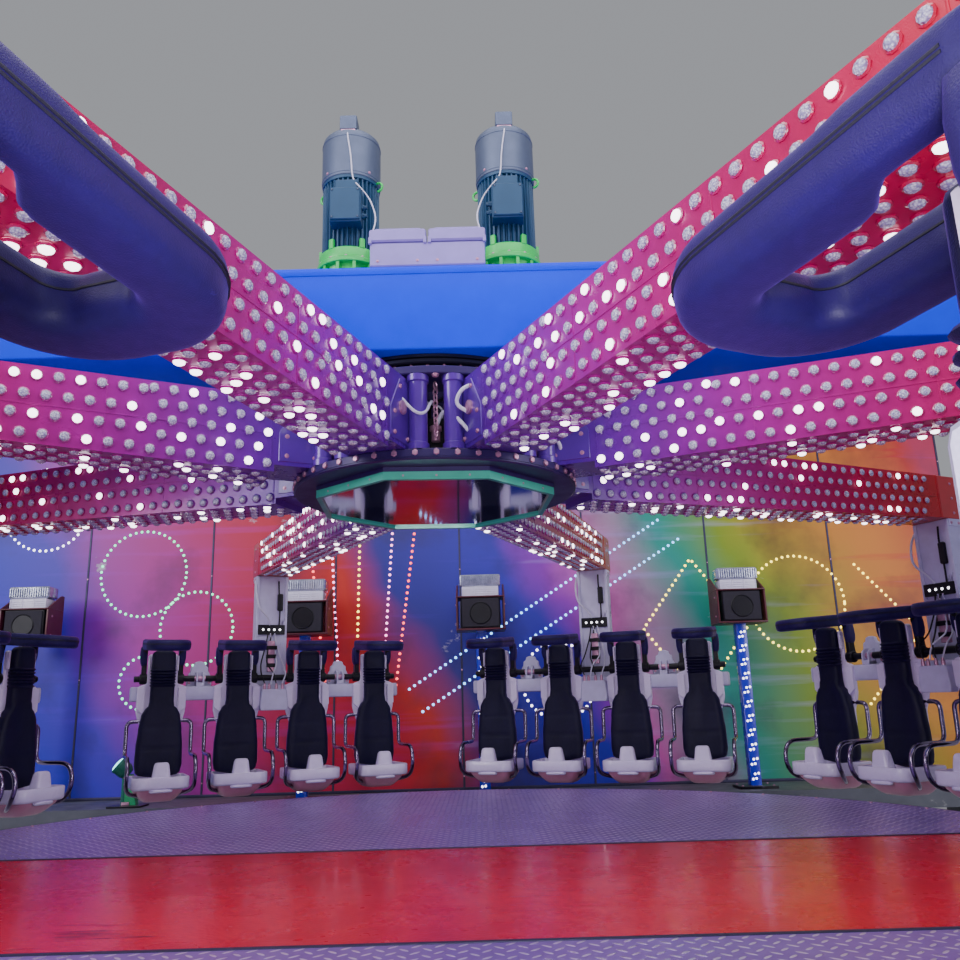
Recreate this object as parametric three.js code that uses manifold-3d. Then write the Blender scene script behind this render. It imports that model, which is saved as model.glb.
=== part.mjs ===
// A star-shaped fairground ride: eight arms turn on a hub under a cross beam, and each arm
// carries a row of four seats that face the hub over a round deck.
// Millimetres, +Z up, the origin on the ground under the hub's axis. The riders' view is from -Y.
import * as THREE from 'three';
import { mergeVertices } from 'three/addons/utils/BufferGeometryUtils.js';
import Module from 'manifold-3d';

const wasm = await Module();
wasm.setup();

// Clearance between pieces that touch.
const GAP = 0.3;

// Star: the arms, the hub they are pinned to and the angle at which it stands.
const ARM_COUNT = 8;
const STAR_TURN = 3.25;
const ARM_FIRST_ANGLE = 22.5;
const ARM_WIDTH = 295;
const ARM_ROOT_R = 520;
const ARM_PANEL_R = 920;
const ARM_POST_R = 3970;
const ARM_END_R = 4180;
const ARM_ROOT_BOTTOM = 2656;
const ARM_END_BOTTOM = 2749;
const ARM_ROOT_TOP = 3043;
const ARM_END_TOP = 3065;

const HUB_DRUM_R = 500;
const HUB_FLANGE_R = 760;
const HUB_TOP_R = 640;
const HUB_FLANGE_BOTTOM = 2635;
const HUB_FLANGE_TOP = 2690;
const HUB_TOP_BOTTOM = 3060;
const HUB_TOP = 3149.5;
const ROOT_TUBE_R = 40;
const ROOT_TUBE_AT = [684, 192];
const PAN_ACROSS_FLATS = 1227;
const PAN_BOTTOM = 2575;
const PAN_RIM = 22;
const PAN_DEPTH = 12;

// Fixed steelwork: beam, legs, ground frame and deck.
const BEAM_HALF_LENGTH = 5350;
const BEAM_HALF_WIDTH = 722;
const BEAM_BOTTOM = 3200;
const BEAM_TOP = 3645;
const BEARING_R = 670;
const BEARING_BOTTOM = 3150;
const LEG_INNER_X = 4800;
const LEG_WIDTH = 500;
const LEG_FOOT_HALF = 640;
const LEG_HEAD_HALF = 460;
const FRAME_TOP = 600;
const CROSS_BEAM_HALF_WIDTH = 680;
const KEEL_X = 1600;
const KEEL_WIDTH = 260;
const KEEL_FRONT_Y = -3150;
const BEARER_HALF_LENGTH = 2850;
const REAR_DECK_Y = [4550, 5750];
const REAR_DECK_HALF = 5850;
const REAR_DECK_BOTTOM = 400;
const REAR_FOOT_X = [-5500, -3500, 3500, 5500];
const DECK_R = 3350;
const DECK_TOP = 800;
const DECK_THICKNESS = 60;
const WALKWAY_Y = [-1620, 230];
const DECK_SEGMENTS = 48;

// Drives and cabinet on top of the beam. A drive's profile runs up its bell housing and motor.
const DRIVE_X = 430;
const DRIVE_Y = -330;
const DRIVE_PROFILE = [
  [0, 0], [185, 0], [185, 34], [150, 40], [150, 155], [180, 160], [180, 186], [156, 192],
  [156, 660], [161, 668], [161, 960], [125, 995], [0, 995],
];
const TERMINAL_BOX = { half: 84, y: [-235, -100], z: [360, 560] };
const ENCODER = { half: 47, y: [-148, -40], z: [968, 1062] };
const CABINET = { x: [-285, 305], y: [-712, -525], height: 231 };

// Scenery wall and the sound and light stacks in front of it.
const WALL_HALF = 5800;
const WALL_PANELS = 4;
const WALL_Y = [5500, 5580];
const WALL_TOP = 5200;
const WALL_RIB = { width: 90, depth: 120, inset: 420 };
const STACK_X = [-4660, -1670, 230, 3030];
const STACK_Y = 4900;
// From the stage up: the foot, the pole, the framed speaker and the light box.
const STACK_PARTS = [
  { half: [200, 150], z: [0, 30] },
  { half: [58, 58], z: [20, 1700] },
  { half: [265, 180], z: [1680, 2045] },
  { half: [230, 120], z: [2035, 2290] },
];
const FLOODLIGHT_AT = [-3415, 4760];
const FLOODLIGHT_FOOT = { half: [175, 130], thickness: 20 };
const FLOODLIGHT_STEM = [[-62, 15], [97, 15], [70, 140], [28, 320], [-45, 320]];
const FLOODLIGHT_HEAD = [[0, 0], [55, 0], [78, 35], [85, 150], [0, 150]];
const FLOODLIGHT_HEAD_AT = [-5, 0, 317];
const FLOODLIGHT_TILT = -50;
const FLOODLIGHT_TURN = 15;

// Seats: one row of four on each arm. In a row's own frame X points away from the hub,
// Y runs along the row, and the seats look along -X. It starts ROW_START from the hub's axis.
const ROW_START = 70;
const SEATS_PER_ROW = 4;
const SEAT_PITCH = 635;
const PAD_X = [3690, 3790];
const PAD_BOTTOM = 1000;
const PAD_TOP = 2050;
const PAD_FLANK = [[130, PAD_BOTTOM], [189, 1240], [165, 1510], [107, 1600], [107, 2010], [80, PAD_TOP]];
const BASE_X = [3400, 3830];
const BASE_Z = [920, 1020];
const BASE_HALF = 225;
const BASE_CHAMFER = 60;
const BUCKET = { x: [3430, 3810], half: 205, bottom: 820, taper: [0.62, 0.58], taperX: 3770 };
const HORN = { x: [3420, 3500], half: 62, top: 1130, flare: 1.12 };
const SIDE_BAR_R = 13;
const SIDE_BAR_Y = 262;
const SIDE_BAR_INNER_Y = 120;
const SIDE_BAR_ROOT = [3770, 1452];
const SIDE_BAR_SIDE = [[3800, 1452], [3795, 1175], [3465, 1172], [3420, 1040], [3475, 900]];
const SIDE_BAR_END = [3600, 870];
const CROSSBAR = { x: [3785, 3930], half: 1200, z: [1620, 1740] };
const POST = { x: [3925, 4055], half: 145, bottom: 1620 };
const CENTRE_BOX = { x: [3700, 3790], half: 125, z: [1510, 1710] };
const EAR = { x: [3790, 3885], half: 32, top: 1862 };

// Restraints: padded loops that pivot behind the seats' necks, raised at rest.
const PIVOT_R = 3835;
const PIVOT_Z = 1805;
const SHAFT_HALF_SIZE = 24;
const SHAFT_HALF = 1180;
const JOURNAL_R = 25;
const JOURNAL_BORE_R = 25.95;
const JOURNAL_HALF = 44;
const JOURNAL_SIDES = 12;
const LOOP_REAR_X = 3845;
const LOOP_REAR_Z = 2100;
const LOOP_TILT = -4.5;
const LOOP_LENGTH = 545;
const LOOP_HALF = 178;
const LOOP_CORNER = 80;
const LOOP_THICKNESS = 92;
const LOOP_FRONT_BAR = 130;
const LOOP_HOLE_HALF = 75;
const LOOP_HOLE_CORNER = 30;
// The hole is wider at its rear end, where the loop passes the headrest.
const LOOP_REAR_HALF = 128;
const LOOP_REAR_LENGTH = 165;
const LOOP_REAR_TAPER = 40;
const LOOP_ARM_Y = [130, 170];
const LOOP_ARM_OUTLINE = [
  [3862, 1785], [3862, 1835], [3850, 2080], [3785, 2080], [3785, 2040], [3802, 1990], [3810, 1785],
];

const COLOURS = {
  beamBlue: 0x0f50e6,
  steelGrey: 0x5a5d66,
  deckGrey: 0x9a9fae,
  walkwayRed: 0xc01238,
  hubPurple: 0x5a36b0,
  panTeal: 0x2fa58a,
  armMagenta: 0xa02a90,
  seatWhite: 0xd9d4ee,
  padBlack: 0x17151d,
  driveGreen: 0x2a9c4a,
  cabinetWhite: 0xdedcf2,
  walls: [0x1c3fae, 0x8a2f9c, 0x93264f, 0x2f7f72],
  speakerMaroon: 0x3c1626,
  floodGreen: 0x14806a,
};

function material(colour, roughness = 0.5, metalness = 0.1) {
  return new THREE.MeshStandardMaterial({ color: colour, roughness, metalness });
}

function piece(name, geometry, colour, roughness, metalness) {
  const mesh = new THREE.Mesh(geometry, material(colour, roughness, metalness));
  mesh.name = name;
  return mesh;
}

// Shape helpers.

function block([x0, x1], [y0, y1], [z0, z1]) {
  const geometry = new THREE.BoxGeometry(x1 - x0, y1 - y0, z1 - z0);
  return geometry.translate((x0 + x1) / 2, (y0 + y1) / 2, (z0 + z1) / 2);
}

function outline(points) {
  return new THREE.Shape(points.map(([a, b]) => new THREE.Vector2(a, b)));
}

function mirrored(points) {
  return [...points, ...points.map(([a, b]) => [-a, b]).reverse()];
}

// A flat outline in XY, drawn out upwards from z.
function slab(points, z, thickness) {
  const geometry = new THREE.ExtrudeGeometry(outline(points), { depth: thickness, bevelEnabled: false });
  return geometry.translate(0, 0, z);
}

// An outline of (x, z) points, drawn out along Y between y0 and y1.
function sideProfile(points, [y0, y1]) {
  const geometry = new THREE.ExtrudeGeometry(outline(points), { depth: y1 - y0, bevelEnabled: false });
  return geometry.rotateX(Math.PI / 2).translate(0, y1, 0);
}

// An outline of (y, z) points, drawn out along X between x0 and x1.
function frontProfile(points, [x0, x1]) {
  const geometry = new THREE.ExtrudeGeometry(outline(points), { depth: x1 - x0, bevelEnabled: false });
  const turn = new THREE.Matrix4().makeBasis(
    new THREE.Vector3(0, 1, 0),
    new THREE.Vector3(0, 0, 1),
    new THREE.Vector3(1, 0, 0),
  );
  return geometry.applyMatrix4(turn).translate(x0, 0, 0);
}

function ringOf(radius, sides) {
  return Array.from({ length: sides }, (_, i) => {
    const angle = (2 * Math.PI * i) / sides;
    return [radius * Math.cos(angle), radius * Math.sin(angle)];
  });
}

// A path with a bend at each of its points and straight runs between them.
class BentPath extends THREE.Curve {
  constructor(points) {
    super();
    this.points = points.map((p) => new THREE.Vector3(...p));
  }

  getPoint(t) {
    const last = this.points.length - 1;
    const from = Math.min(Math.floor(t * last), last - 1);
    return this.points[from].clone().lerp(this.points[from + 1], t * last - from);
  }

  getPointAt(u) {
    return this.getPoint(u);
  }

  getTangentAt(u) {
    return this.getTangent(u);
  }
}

function bar(points, radius, sides) {
  const section = outline(ringOf(radius, sides));
  const path = new BentPath(points);
  return new THREE.ExtrudeGeometry(section, { steps: points.length - 1, extrudePath: path, bevelEnabled: false });
}

function turned(profile, segments) {
  const geometry = new THREE.LatheGeometry(profile.map(([r, z]) => new THREE.Vector2(r, z)), segments);
  return geometry.rotateX(Math.PI / 2);
}

// Lowers a box's bottom corners to a smaller rectangle, for a bucket shape.
function tapered(geometry, [fromX, fromY], [scaleX, scaleY]) {
  const position = geometry.attributes.position;
  geometry.computeBoundingBox();
  const middle = (geometry.boundingBox.min.z + geometry.boundingBox.max.z) / 2;
  for (let i = 0; i < position.count; i += 1) {
    if (position.getZ(i) > middle) continue;
    position.setX(i, fromX + (position.getX(i) - fromX) * scaleX);
    position.setY(i, fromY + (position.getY(i) - fromY) * scaleY);
  }
  return geometry;
}

// Booleans.

function solid(geometry) {
  const bare = geometry.clone();
  bare.deleteAttribute('normal');
  bare.deleteAttribute('uv');
  const merged = mergeVertices(bare, 0.001);
  const index = merged.index.array;
  const triangles = [];
  for (let i = 0; i < index.length; i += 3) {
    const [a, b, c] = [index[i], index[i + 1], index[i + 2]];
    if (a !== b && b !== c && c !== a) triangles.push(a, b, c);
  }
  return new wasm.Manifold(new wasm.Mesh({
    numProp: 3,
    vertProperties: new Float32Array(merged.attributes.position.array),
    triVerts: new Uint32Array(triangles),
  }));
}

function surface(manifold) {
  const mesh = manifold.getMesh();
  const geometry = new THREE.BufferGeometry();
  geometry.setAttribute('position', new THREE.BufferAttribute(mesh.vertProperties, 3));
  geometry.setIndex(new THREE.BufferAttribute(mesh.triVerts, 1));
  geometry.computeVertexNormals();
  return geometry;
}

function joined(parts) {
  return surface(parts.map(solid).reduce((sum, next) => sum.add(next)));
}

function without(geometry, cutters) {
  return surface(cutters.map(solid).reduce((rest, cutter) => rest.subtract(cutter), solid(geometry)));
}

// Ground frame, deck, legs and beam.

function groundFrame() {
  const keel = (x) => [x - KEEL_WIDTH / 2, x + KEEL_WIDTH / 2];
  const parts = [
    block([-BEAM_HALF_LENGTH, BEAM_HALF_LENGTH], [-CROSS_BEAM_HALF_WIDTH, CROSS_BEAM_HALF_WIDTH], [0, FRAME_TOP]),
    block([-REAR_DECK_HALF, REAR_DECK_HALF], REAR_DECK_Y, [REAR_DECK_BOTTOM, FRAME_TOP]),
  ];
  for (const x of [-KEEL_X, KEEL_X]) {
    parts.push(block(keel(x), [KEEL_FRONT_Y, REAR_DECK_Y[1] - 100], [0, FRAME_TOP - 1]));
    parts.push(block(keel(x), [-BEARER_HALF_LENGTH, BEARER_HALF_LENGTH], [FRAME_TOP - 50, DECK_TOP - DECK_THICKNESS - GAP]));
  }
  for (const x of REAR_FOOT_X) {
    parts.push(block([x - 150, x + 150], [REAR_DECK_Y[0] + 100, REAR_DECK_Y[1] - 100], [0, REAR_DECK_BOTTOM + 50]));
  }
  return joined(parts);
}

// The stretch of the round deck that lies between two lines across it.
function deckStretch([y0, y1]) {
  const edge = ringOf(DECK_R, DECK_SEGMENTS).filter(([, y]) => y > y0 && y < y1);
  const corner = (y, side) => [side * Math.sqrt(DECK_R ** 2 - y ** 2), y];
  const ends = [y0, y1].filter((y) => Math.abs(y) < DECK_R).flatMap((y) => [corner(y, 1), corner(y, -1)]);
  const middle = (Math.max(y0, -DECK_R) + Math.min(y1, DECK_R)) / 2;
  const points = [...edge, ...ends];
  points.sort((a, b) => Math.atan2(a[1] - middle, a[0]) - Math.atan2(b[1] - middle, b[0]));
  return slab(points, DECK_TOP - DECK_THICKNESS, DECK_THICKNESS);
}

function leg(side) {
  const shape = mirrored([[LEG_FOOT_HALF, FRAME_TOP + GAP], [LEG_HEAD_HALF, BEAM_BOTTOM - GAP]]);
  const inner = side * LEG_INNER_X;
  const outer = side * (LEG_INNER_X + LEG_WIDTH);
  return frontProfile(shape, [Math.min(inner, outer), Math.max(inner, outer)]);
}

// Drive motor on its bell housing, with a terminal box and an encoder.
function drive() {
  return joined([
    turned(DRIVE_PROFILE, 16),
    block([-TERMINAL_BOX.half, TERMINAL_BOX.half], TERMINAL_BOX.y, TERMINAL_BOX.z),
    block([-ENCODER.half, ENCODER.half], ENCODER.y, ENCODER.z),
  ]);
}

function speakerStack() {
  return joined(STACK_PARTS.map(({ half: [x, y], z }) => block([-x, x], [-y, y], z)));
}

// A lamp on a stem, tilted to shine up and to the left.
function floodlight() {
  const [x, y] = FLOODLIGHT_FOOT.half;
  const head = turned(FLOODLIGHT_HEAD, 16);
  head.rotateY(THREE.MathUtils.degToRad(FLOODLIGHT_TILT)).rotateZ(THREE.MathUtils.degToRad(FLOODLIGHT_TURN));
  head.translate(...FLOODLIGHT_HEAD_AT);
  return joined([
    block([-x, x], [-y, y], [0, FLOODLIGHT_FOOT.thickness]),
    sideProfile(FLOODLIGHT_STEM, [-45, 45]),
    head,
  ]);
}

function wallPanel(index) {
  const width = (2 * WALL_HALF) / WALL_PANELS;
  const x0 = -WALL_HALF + index * width + GAP;
  const x1 = x0 + width - 2 * GAP;
  const back = [WALL_Y[1] - 5, WALL_Y[1] + WALL_RIB.depth];
  const rib = (x) => block([x - WALL_RIB.width / 2, x + WALL_RIB.width / 2], back, [FRAME_TOP + GAP, WALL_TOP - 100]);
  return joined([
    block([x0, x1], WALL_Y, [FRAME_TOP + GAP, WALL_TOP]),
    rib(x0 + WALL_RIB.inset),
    rib(x1 - WALL_RIB.inset),
  ]);
}

function fixedPieces() {
  const group = new THREE.Group();
  group.add(piece('ground_frame', groundFrame(), COLOURS.steelGrey, 0.6, 0.4));
  group.add(piece('front_deck', deckStretch([-2 * DECK_R, WALKWAY_Y[0] - GAP]), COLOURS.deckGrey, 0.35, 0.8));
  group.add(piece('red_walkway', deckStretch(WALKWAY_Y), COLOURS.walkwayRed, 0.25, 0.1));
  group.add(piece('rear_deck', deckStretch([WALKWAY_Y[1] + GAP, 2 * DECK_R]), COLOURS.deckGrey, 0.35, 0.8));
  group.add(piece('left_leg', leg(-1), COLOURS.beamBlue));
  group.add(piece('right_leg', leg(1), COLOURS.beamBlue));
  const beam = block(
    [-BEAM_HALF_LENGTH, BEAM_HALF_LENGTH],
    [-BEAM_HALF_WIDTH, BEAM_HALF_WIDTH],
    [BEAM_BOTTOM, BEAM_TOP],
  );
  group.add(piece('main_beam', beam, COLOURS.beamBlue, 0.25));
  const bearing = [[0, BEARING_BOTTOM], [BEARING_R, BEARING_BOTTOM], [BEARING_R, BEAM_BOTTOM - GAP], [0, BEAM_BOTTOM - GAP]];
  group.add(piece('bearing_housing', turned(bearing, 24), COLOURS.steelGrey, 0.4, 0.7));
  for (const [name, side] of [['left_drive', -1], ['right_drive', 1]]) {
    const mesh = piece(name, drive(), COLOURS.driveGreen, 0.4, 0.3);
    mesh.position.set(side * DRIVE_X, DRIVE_Y, BEAM_TOP + GAP);
    group.add(mesh);
  }
  const cabinet = block(CABINET.x, CABINET.y, [BEAM_TOP + GAP, BEAM_TOP + CABINET.height]);
  group.add(piece('control_cabinet', cabinet, COLOURS.cabinetWhite));
  STACK_X.forEach((x, index) => {
    const mesh = piece(`speaker_stack_${index + 1}`, speakerStack(), COLOURS.speakerMaroon, 0.7);
    mesh.position.set(x, STACK_Y, FRAME_TOP + GAP);
    group.add(mesh);
  });
  const flood = piece('floodlight', floodlight(), COLOURS.floodGreen, 0.4, 0.2);
  flood.position.set(...FLOODLIGHT_AT, FRAME_TOP + GAP);
  group.add(flood);
  for (let index = 0; index < WALL_PANELS; index += 1) {
    group.add(piece(`wall_panel_${index + 1}`, wallPanel(index), COLOURS.walls[index], 0.6));
  }
  return group;
}

// The star.

function hubCore() {
  const drum = turned([
    [0, HUB_FLANGE_BOTTOM], [HUB_FLANGE_R, HUB_FLANGE_BOTTOM], [HUB_FLANGE_R, HUB_FLANGE_TOP],
    [HUB_DRUM_R, HUB_FLANGE_TOP], [HUB_DRUM_R, HUB_TOP_BOTTOM], [HUB_FLANGE_R, HUB_TOP_BOTTOM],
    [HUB_FLANGE_R, HUB_TOP_BOTTOM + 40], [HUB_TOP_R, HUB_TOP_BOTTOM + 40], [HUB_TOP_R, HUB_TOP], [0, HUB_TOP],
  ], 24);
  const tubes = [];
  for (let arm = 0; arm < ARM_COUNT; arm += 1) {
    for (const side of [-1, 1]) {
      const tube = slab(ringOf(ROOT_TUBE_R, 6), HUB_FLANGE_TOP - 10, HUB_TOP_BOTTOM - HUB_FLANGE_TOP + 20);
      tube.translate(ROOT_TUBE_AT[0], side * ROOT_TUBE_AT[1], 0);
      tubes.push(tube.rotateZ(THREE.MathUtils.degToRad(ARM_FIRST_ANGLE + 45 * arm)));
    }
  }
  return joined([drum, ...tubes]);
}

// The shallow octagonal tray under the hub, open below.
function hubPan() {
  const corner = PAN_ACROSS_FLATS / 2 / Math.cos(Math.PI / 8);
  const turn = Math.PI / 8;
  const tray = slab(ringOf(corner, 8), PAN_BOTTOM, HUB_FLANGE_BOTTOM - GAP - PAN_BOTTOM).rotateZ(turn);
  const hollow = slab(ringOf(corner - PAN_RIM, 8), PAN_BOTTOM - 10, PAN_DEPTH + 10).rotateZ(turn);
  return without(tray, [hollow]);
}

function arm() {
  const points = [
    [ARM_ROOT_R, HUB_FLANGE_TOP + GAP], [ARM_PANEL_R, HUB_FLANGE_TOP + GAP], [ARM_PANEL_R, ARM_ROOT_BOTTOM],
    [ARM_POST_R, ARM_END_BOTTOM], [ARM_END_R, ARM_END_BOTTOM],
    [ARM_END_R, ARM_END_TOP], [ARM_ROOT_R, ARM_ROOT_TOP],
  ];
  return sideProfile(points, [-ARM_WIDTH / 2, ARM_WIDTH / 2]);
}

// Seats and the frame that carries a row of them.

function seatBase() {
  const [front, rear] = BASE_X;
  const points = [
    [front + BASE_CHAMFER, -BASE_HALF], [rear, -BASE_HALF], [rear, BASE_HALF], [front + BASE_CHAMFER, BASE_HALF],
    [front, BASE_HALF - BASE_CHAMFER], [front, -BASE_HALF + BASE_CHAMFER],
  ];
  return slab(points, BASE_Z[0], BASE_Z[1] - BASE_Z[0]);
}

function seatBucket() {
  const bucket = block(BUCKET.x, [-BUCKET.half, BUCKET.half], [BUCKET.bottom, BASE_Z[0] + 5]);
  return tapered(bucket, [BUCKET.taperX, 0], BUCKET.taper);
}

function horn() {
  return tapered(block(HORN.x, [-HORN.half, HORN.half], [BASE_Z[1] - 5, HORN.top]), [HORN.x[0], 0], [1, HORN.flare]);
}

function sideBar(side) {
  const inner = side * SIDE_BAR_INNER_Y;
  const at = ([x, z], y) => [x, y, z];
  return bar([
    at(SIDE_BAR_ROOT, inner),
    ...SIDE_BAR_SIDE.map((point) => at(point, side * SIDE_BAR_Y)),
    at(SIDE_BAR_END, inner),
  ], SIDE_BAR_R, 4);
}

function seat(offset) {
  const parts = [
    frontProfile(mirrored(PAD_FLANK), PAD_X),
    seatBase(),
    seatBucket(),
    horn(),
    sideBar(-1),
    sideBar(1),
  ];
  return parts.map((part) => part.translate(0, offset, 0));
}

function seatOffsets() {
  return Array.from({ length: SEATS_PER_ROW }, (_, i) => (i - (SEATS_PER_ROW - 1) / 2) * SEAT_PITCH);
}

function journalSection(radius) {
  return ringOf(radius, JOURNAL_SIDES).map(([x, z]) => [PIVOT_R + x, PIVOT_Z + z]);
}

function ear(y) {
  const plate = block(EAR.x, [y - EAR.half, y + EAR.half], [CROSSBAR.z[1] - 5, EAR.top]);
  const bore = sideProfile(journalSection(JOURNAL_BORE_R), [y - EAR.half - 5, y + EAR.half + 5]);
  return without(plate, [bore]);
}

function gondola() {
  return joined([
    block(POST.x, [-POST.half, POST.half], [POST.bottom, ARM_END_BOTTOM - GAP]),
    block(CROSSBAR.x, [-CROSSBAR.half, CROSSBAR.half], CROSSBAR.z),
    block(CENTRE_BOX.x, [-CENTRE_BOX.half, CENTRE_BOX.half], CENTRE_BOX.z),
    ear(-SEAT_PITCH),
    ear(SEAT_PITCH),
    ...seatOffsets().flatMap(seat),
  ]);
}

// One padded loop, open at the rear, with the two arms that carry it.
function loop(offset) {
  const bore = -LOOP_LENGTH + LOOP_FRONT_BAR;
  const hole = [
    [0, LOOP_REAR_HALF], [-LOOP_REAR_LENGTH, LOOP_REAR_HALF],
    [-LOOP_REAR_LENGTH - LOOP_REAR_TAPER, LOOP_HOLE_HALF],
    [bore + LOOP_HOLE_CORNER, LOOP_HOLE_HALF], [bore, LOOP_HOLE_HALF - LOOP_HOLE_CORNER],
  ];
  const rim = [
    [0, LOOP_HALF], [-LOOP_LENGTH + LOOP_CORNER, LOOP_HALF], [-LOOP_LENGTH, LOOP_HALF - LOOP_CORNER],
  ];
  const opposite = (points) => points.map(([x, y]) => [x, -y]);
  const ring = slab(
    [...opposite(hole), ...hole.toReversed(), ...rim, ...opposite(rim).toReversed()],
    -LOOP_THICKNESS / 2,
    LOOP_THICKNESS,
  );
  ring.rotateY(THREE.MathUtils.degToRad(LOOP_TILT)).translate(LOOP_REAR_X, 0, LOOP_REAR_Z);
  const parts = [ring];
  for (const side of [-1, 1]) {
    const [near, far] = LOOP_ARM_Y.map((y) => side * y);
    parts.push(sideProfile(LOOP_ARM_OUTLINE, [Math.min(near, far), Math.max(near, far)]));
  }
  return parts.map((part) => part.translate(0, offset, 0));
}

// A square shaft with a round journal in each ear.
function pivotShaft() {
  const size = SHAFT_HALF_SIZE;
  const ends = [-SHAFT_HALF, -SEAT_PITCH - JOURNAL_HALF, -SEAT_PITCH + JOURNAL_HALF];
  const runs = [[ends[0], ends[1]], [ends[2], -ends[2]], [-ends[1], -ends[0]]];
  const square = (run) => block([PIVOT_R - size, PIVOT_R + size], run, [PIVOT_Z - size, PIVOT_Z + size]);
  const journal = (y) => sideProfile(journalSection(JOURNAL_R), [y - JOURNAL_HALF - 5, y + JOURNAL_HALF + 5]);
  return [...runs.map(square), journal(-SEAT_PITCH), journal(SEAT_PITCH)];
}

function restraintRow() {
  return joined([...pivotShaft(), ...seatOffsets().flatMap(loop)]);
}

function star() {
  const group = new THREE.Group();
  group.rotation.z = THREE.MathUtils.degToRad(STAR_TURN);
  group.add(piece('hub_core', hubCore(), COLOURS.hubPurple, 0.4, 0.5));
  group.add(piece('hub_pan', hubPan(), COLOURS.panTeal, 0.2, 0.8));
  for (let index = 0; index < ARM_COUNT; index += 1) {
    const spoke = new THREE.Group();
    spoke.rotation.z = THREE.MathUtils.degToRad(ARM_FIRST_ANGLE + 45 * index);
    spoke.add(piece(`arm_${index + 1}`, arm(), COLOURS.armMagenta, 0.35, 0.3));
    const row = new THREE.Group();
    row.position.x = ROW_START;
    row.add(piece(`seat_row_${index + 1}`, gondola(), COLOURS.seatWhite, 0.4));
    row.add(piece(`restraints_${index + 1}`, restraintRow(), COLOURS.padBlack, 0.7, 0));
    spoke.add(row);
    group.add(spoke);
  }
  return group;
}

const ride = new THREE.Group();
ride.add(fixedPieces());
ride.add(star());

export default ride;
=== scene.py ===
# A star-shaped fairground ride under a cross beam: eight arms set with lamp caps, four seats with
# raised padded loops on each, over a round deck with sound and light stacks and a painted wall.
# Metres, +Z up, the origin on the ground under the hub's axis.
import math
import random

import bpy
import bmesh
from mathutils import Matrix, Vector


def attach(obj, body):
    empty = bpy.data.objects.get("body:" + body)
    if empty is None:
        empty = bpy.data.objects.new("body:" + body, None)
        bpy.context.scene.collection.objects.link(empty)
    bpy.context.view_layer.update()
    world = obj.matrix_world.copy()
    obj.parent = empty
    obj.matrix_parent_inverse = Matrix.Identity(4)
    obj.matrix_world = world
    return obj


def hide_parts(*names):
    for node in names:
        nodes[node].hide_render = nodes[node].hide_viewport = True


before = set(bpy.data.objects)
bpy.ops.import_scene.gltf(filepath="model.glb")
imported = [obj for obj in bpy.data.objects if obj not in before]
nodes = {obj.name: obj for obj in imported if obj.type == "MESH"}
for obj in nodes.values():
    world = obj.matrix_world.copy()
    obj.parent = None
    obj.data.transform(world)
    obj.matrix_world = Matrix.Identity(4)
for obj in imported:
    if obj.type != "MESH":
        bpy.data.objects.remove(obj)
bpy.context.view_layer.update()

# The photograph's viewpoint: low on the riders' side, looking up at the hub.
CAMERA_AT = (0.227, -4.655, 1.534)
CAMERA_LENS = 32.7
CAMERA_PITCH = 14.3
CAMERA_YAW = 0.22
CAMERA_ROLL = 1.6

camera = bpy.data.objects.new("camera", bpy.data.cameras.new("camera"))
camera.data.lens = CAMERA_LENS
camera.data.sensor_width = 36.0
camera.data.clip_start = 0.05
camera.data.clip_end = 200.0
camera.matrix_world = (
    Matrix.Translation(CAMERA_AT)
    @ Matrix.Rotation(math.radians(-CAMERA_YAW), 4, "Z")
    @ Matrix.Rotation(math.radians(90 + CAMERA_PITCH), 4, "X")
    @ Matrix.Rotation(math.radians(-CAMERA_ROLL), 4, "Z")
)
bpy.context.scene.collection.objects.link(camera)
bpy.context.scene.camera = camera

# Main dimensions, as in the part's source.
ROWS = range(1, 9)
STAR_TURN = 3.25
ROW_ANGLE = {row: STAR_TURN + 22.5 + 45.0 * (row - 1) for row in ROWS}
ARM_HALF = 0.1475
ARM_PANEL_R = 0.92
ARM_POST_R = 3.97
ARM_END_R = 4.18
ROW_START = 0.07
DECK_R = 3.35
DECK_TOP = 0.8
STAGE_TOP = 0.6
BEAM_TOP = 3.6453
BEAM_BOTTOM = 3.2
WALL_FACE = 5.5
SEAT_OFFSETS = (-0.9525, -0.3175, 0.3175, 0.9525)
PIVOT_R = 3.835
PIVOT_Z = 1.805
LOOP_REAR = (3.845, 2.1)
LOOP_TILT = -4.5
LOOP_HALF_HEIGHT = 0.046


def arm_place(row):
    return Matrix.Rotation(math.radians(ROW_ANGLE[row]), 4, "Z")


def row_place(row):
    """A seat row's own frame, which starts a little way out along its arm."""
    return arm_place(row) @ Matrix.Translation((ROW_START, 0, 0))


# Shape building.


class Form:
    """The surfaces of one piece, each marked with one of the piece's finishes."""

    def __init__(self, *finishes):
        self.finishes = finishes
        self.points = []
        self.faces = []
        self.marks = []

    def put(self, shape, finish=0, place=None):
        points, faces = shape
        start = len(self.points)
        if place is not None:
            points = [place @ Vector(p) for p in points]
        self.points.extend(tuple(p) for p in points)
        self.faces.extend(tuple(start + i for i in face) for face in faces)
        self.marks.extend([finish] * len(faces))
        return self

    def mesh(self, name, sharp=32.0):
        mesh = bpy.data.meshes.new(name)
        mesh.from_pydata(self.points, [], self.faces)
        for finish in self.finishes:
            mesh.materials.append(finish)
        mesh.polygons.foreach_set("material_index", self.marks)
        work = bmesh.new()
        work.from_mesh(mesh)
        bmesh.ops.recalc_face_normals(work, faces=work.faces)
        work.to_mesh(mesh)
        work.free()
        mesh.polygons.foreach_set("use_smooth", [True] * len(mesh.polygons))
        mesh.set_sharp_from_angle(angle=math.radians(sharp))
        return mesh


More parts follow.
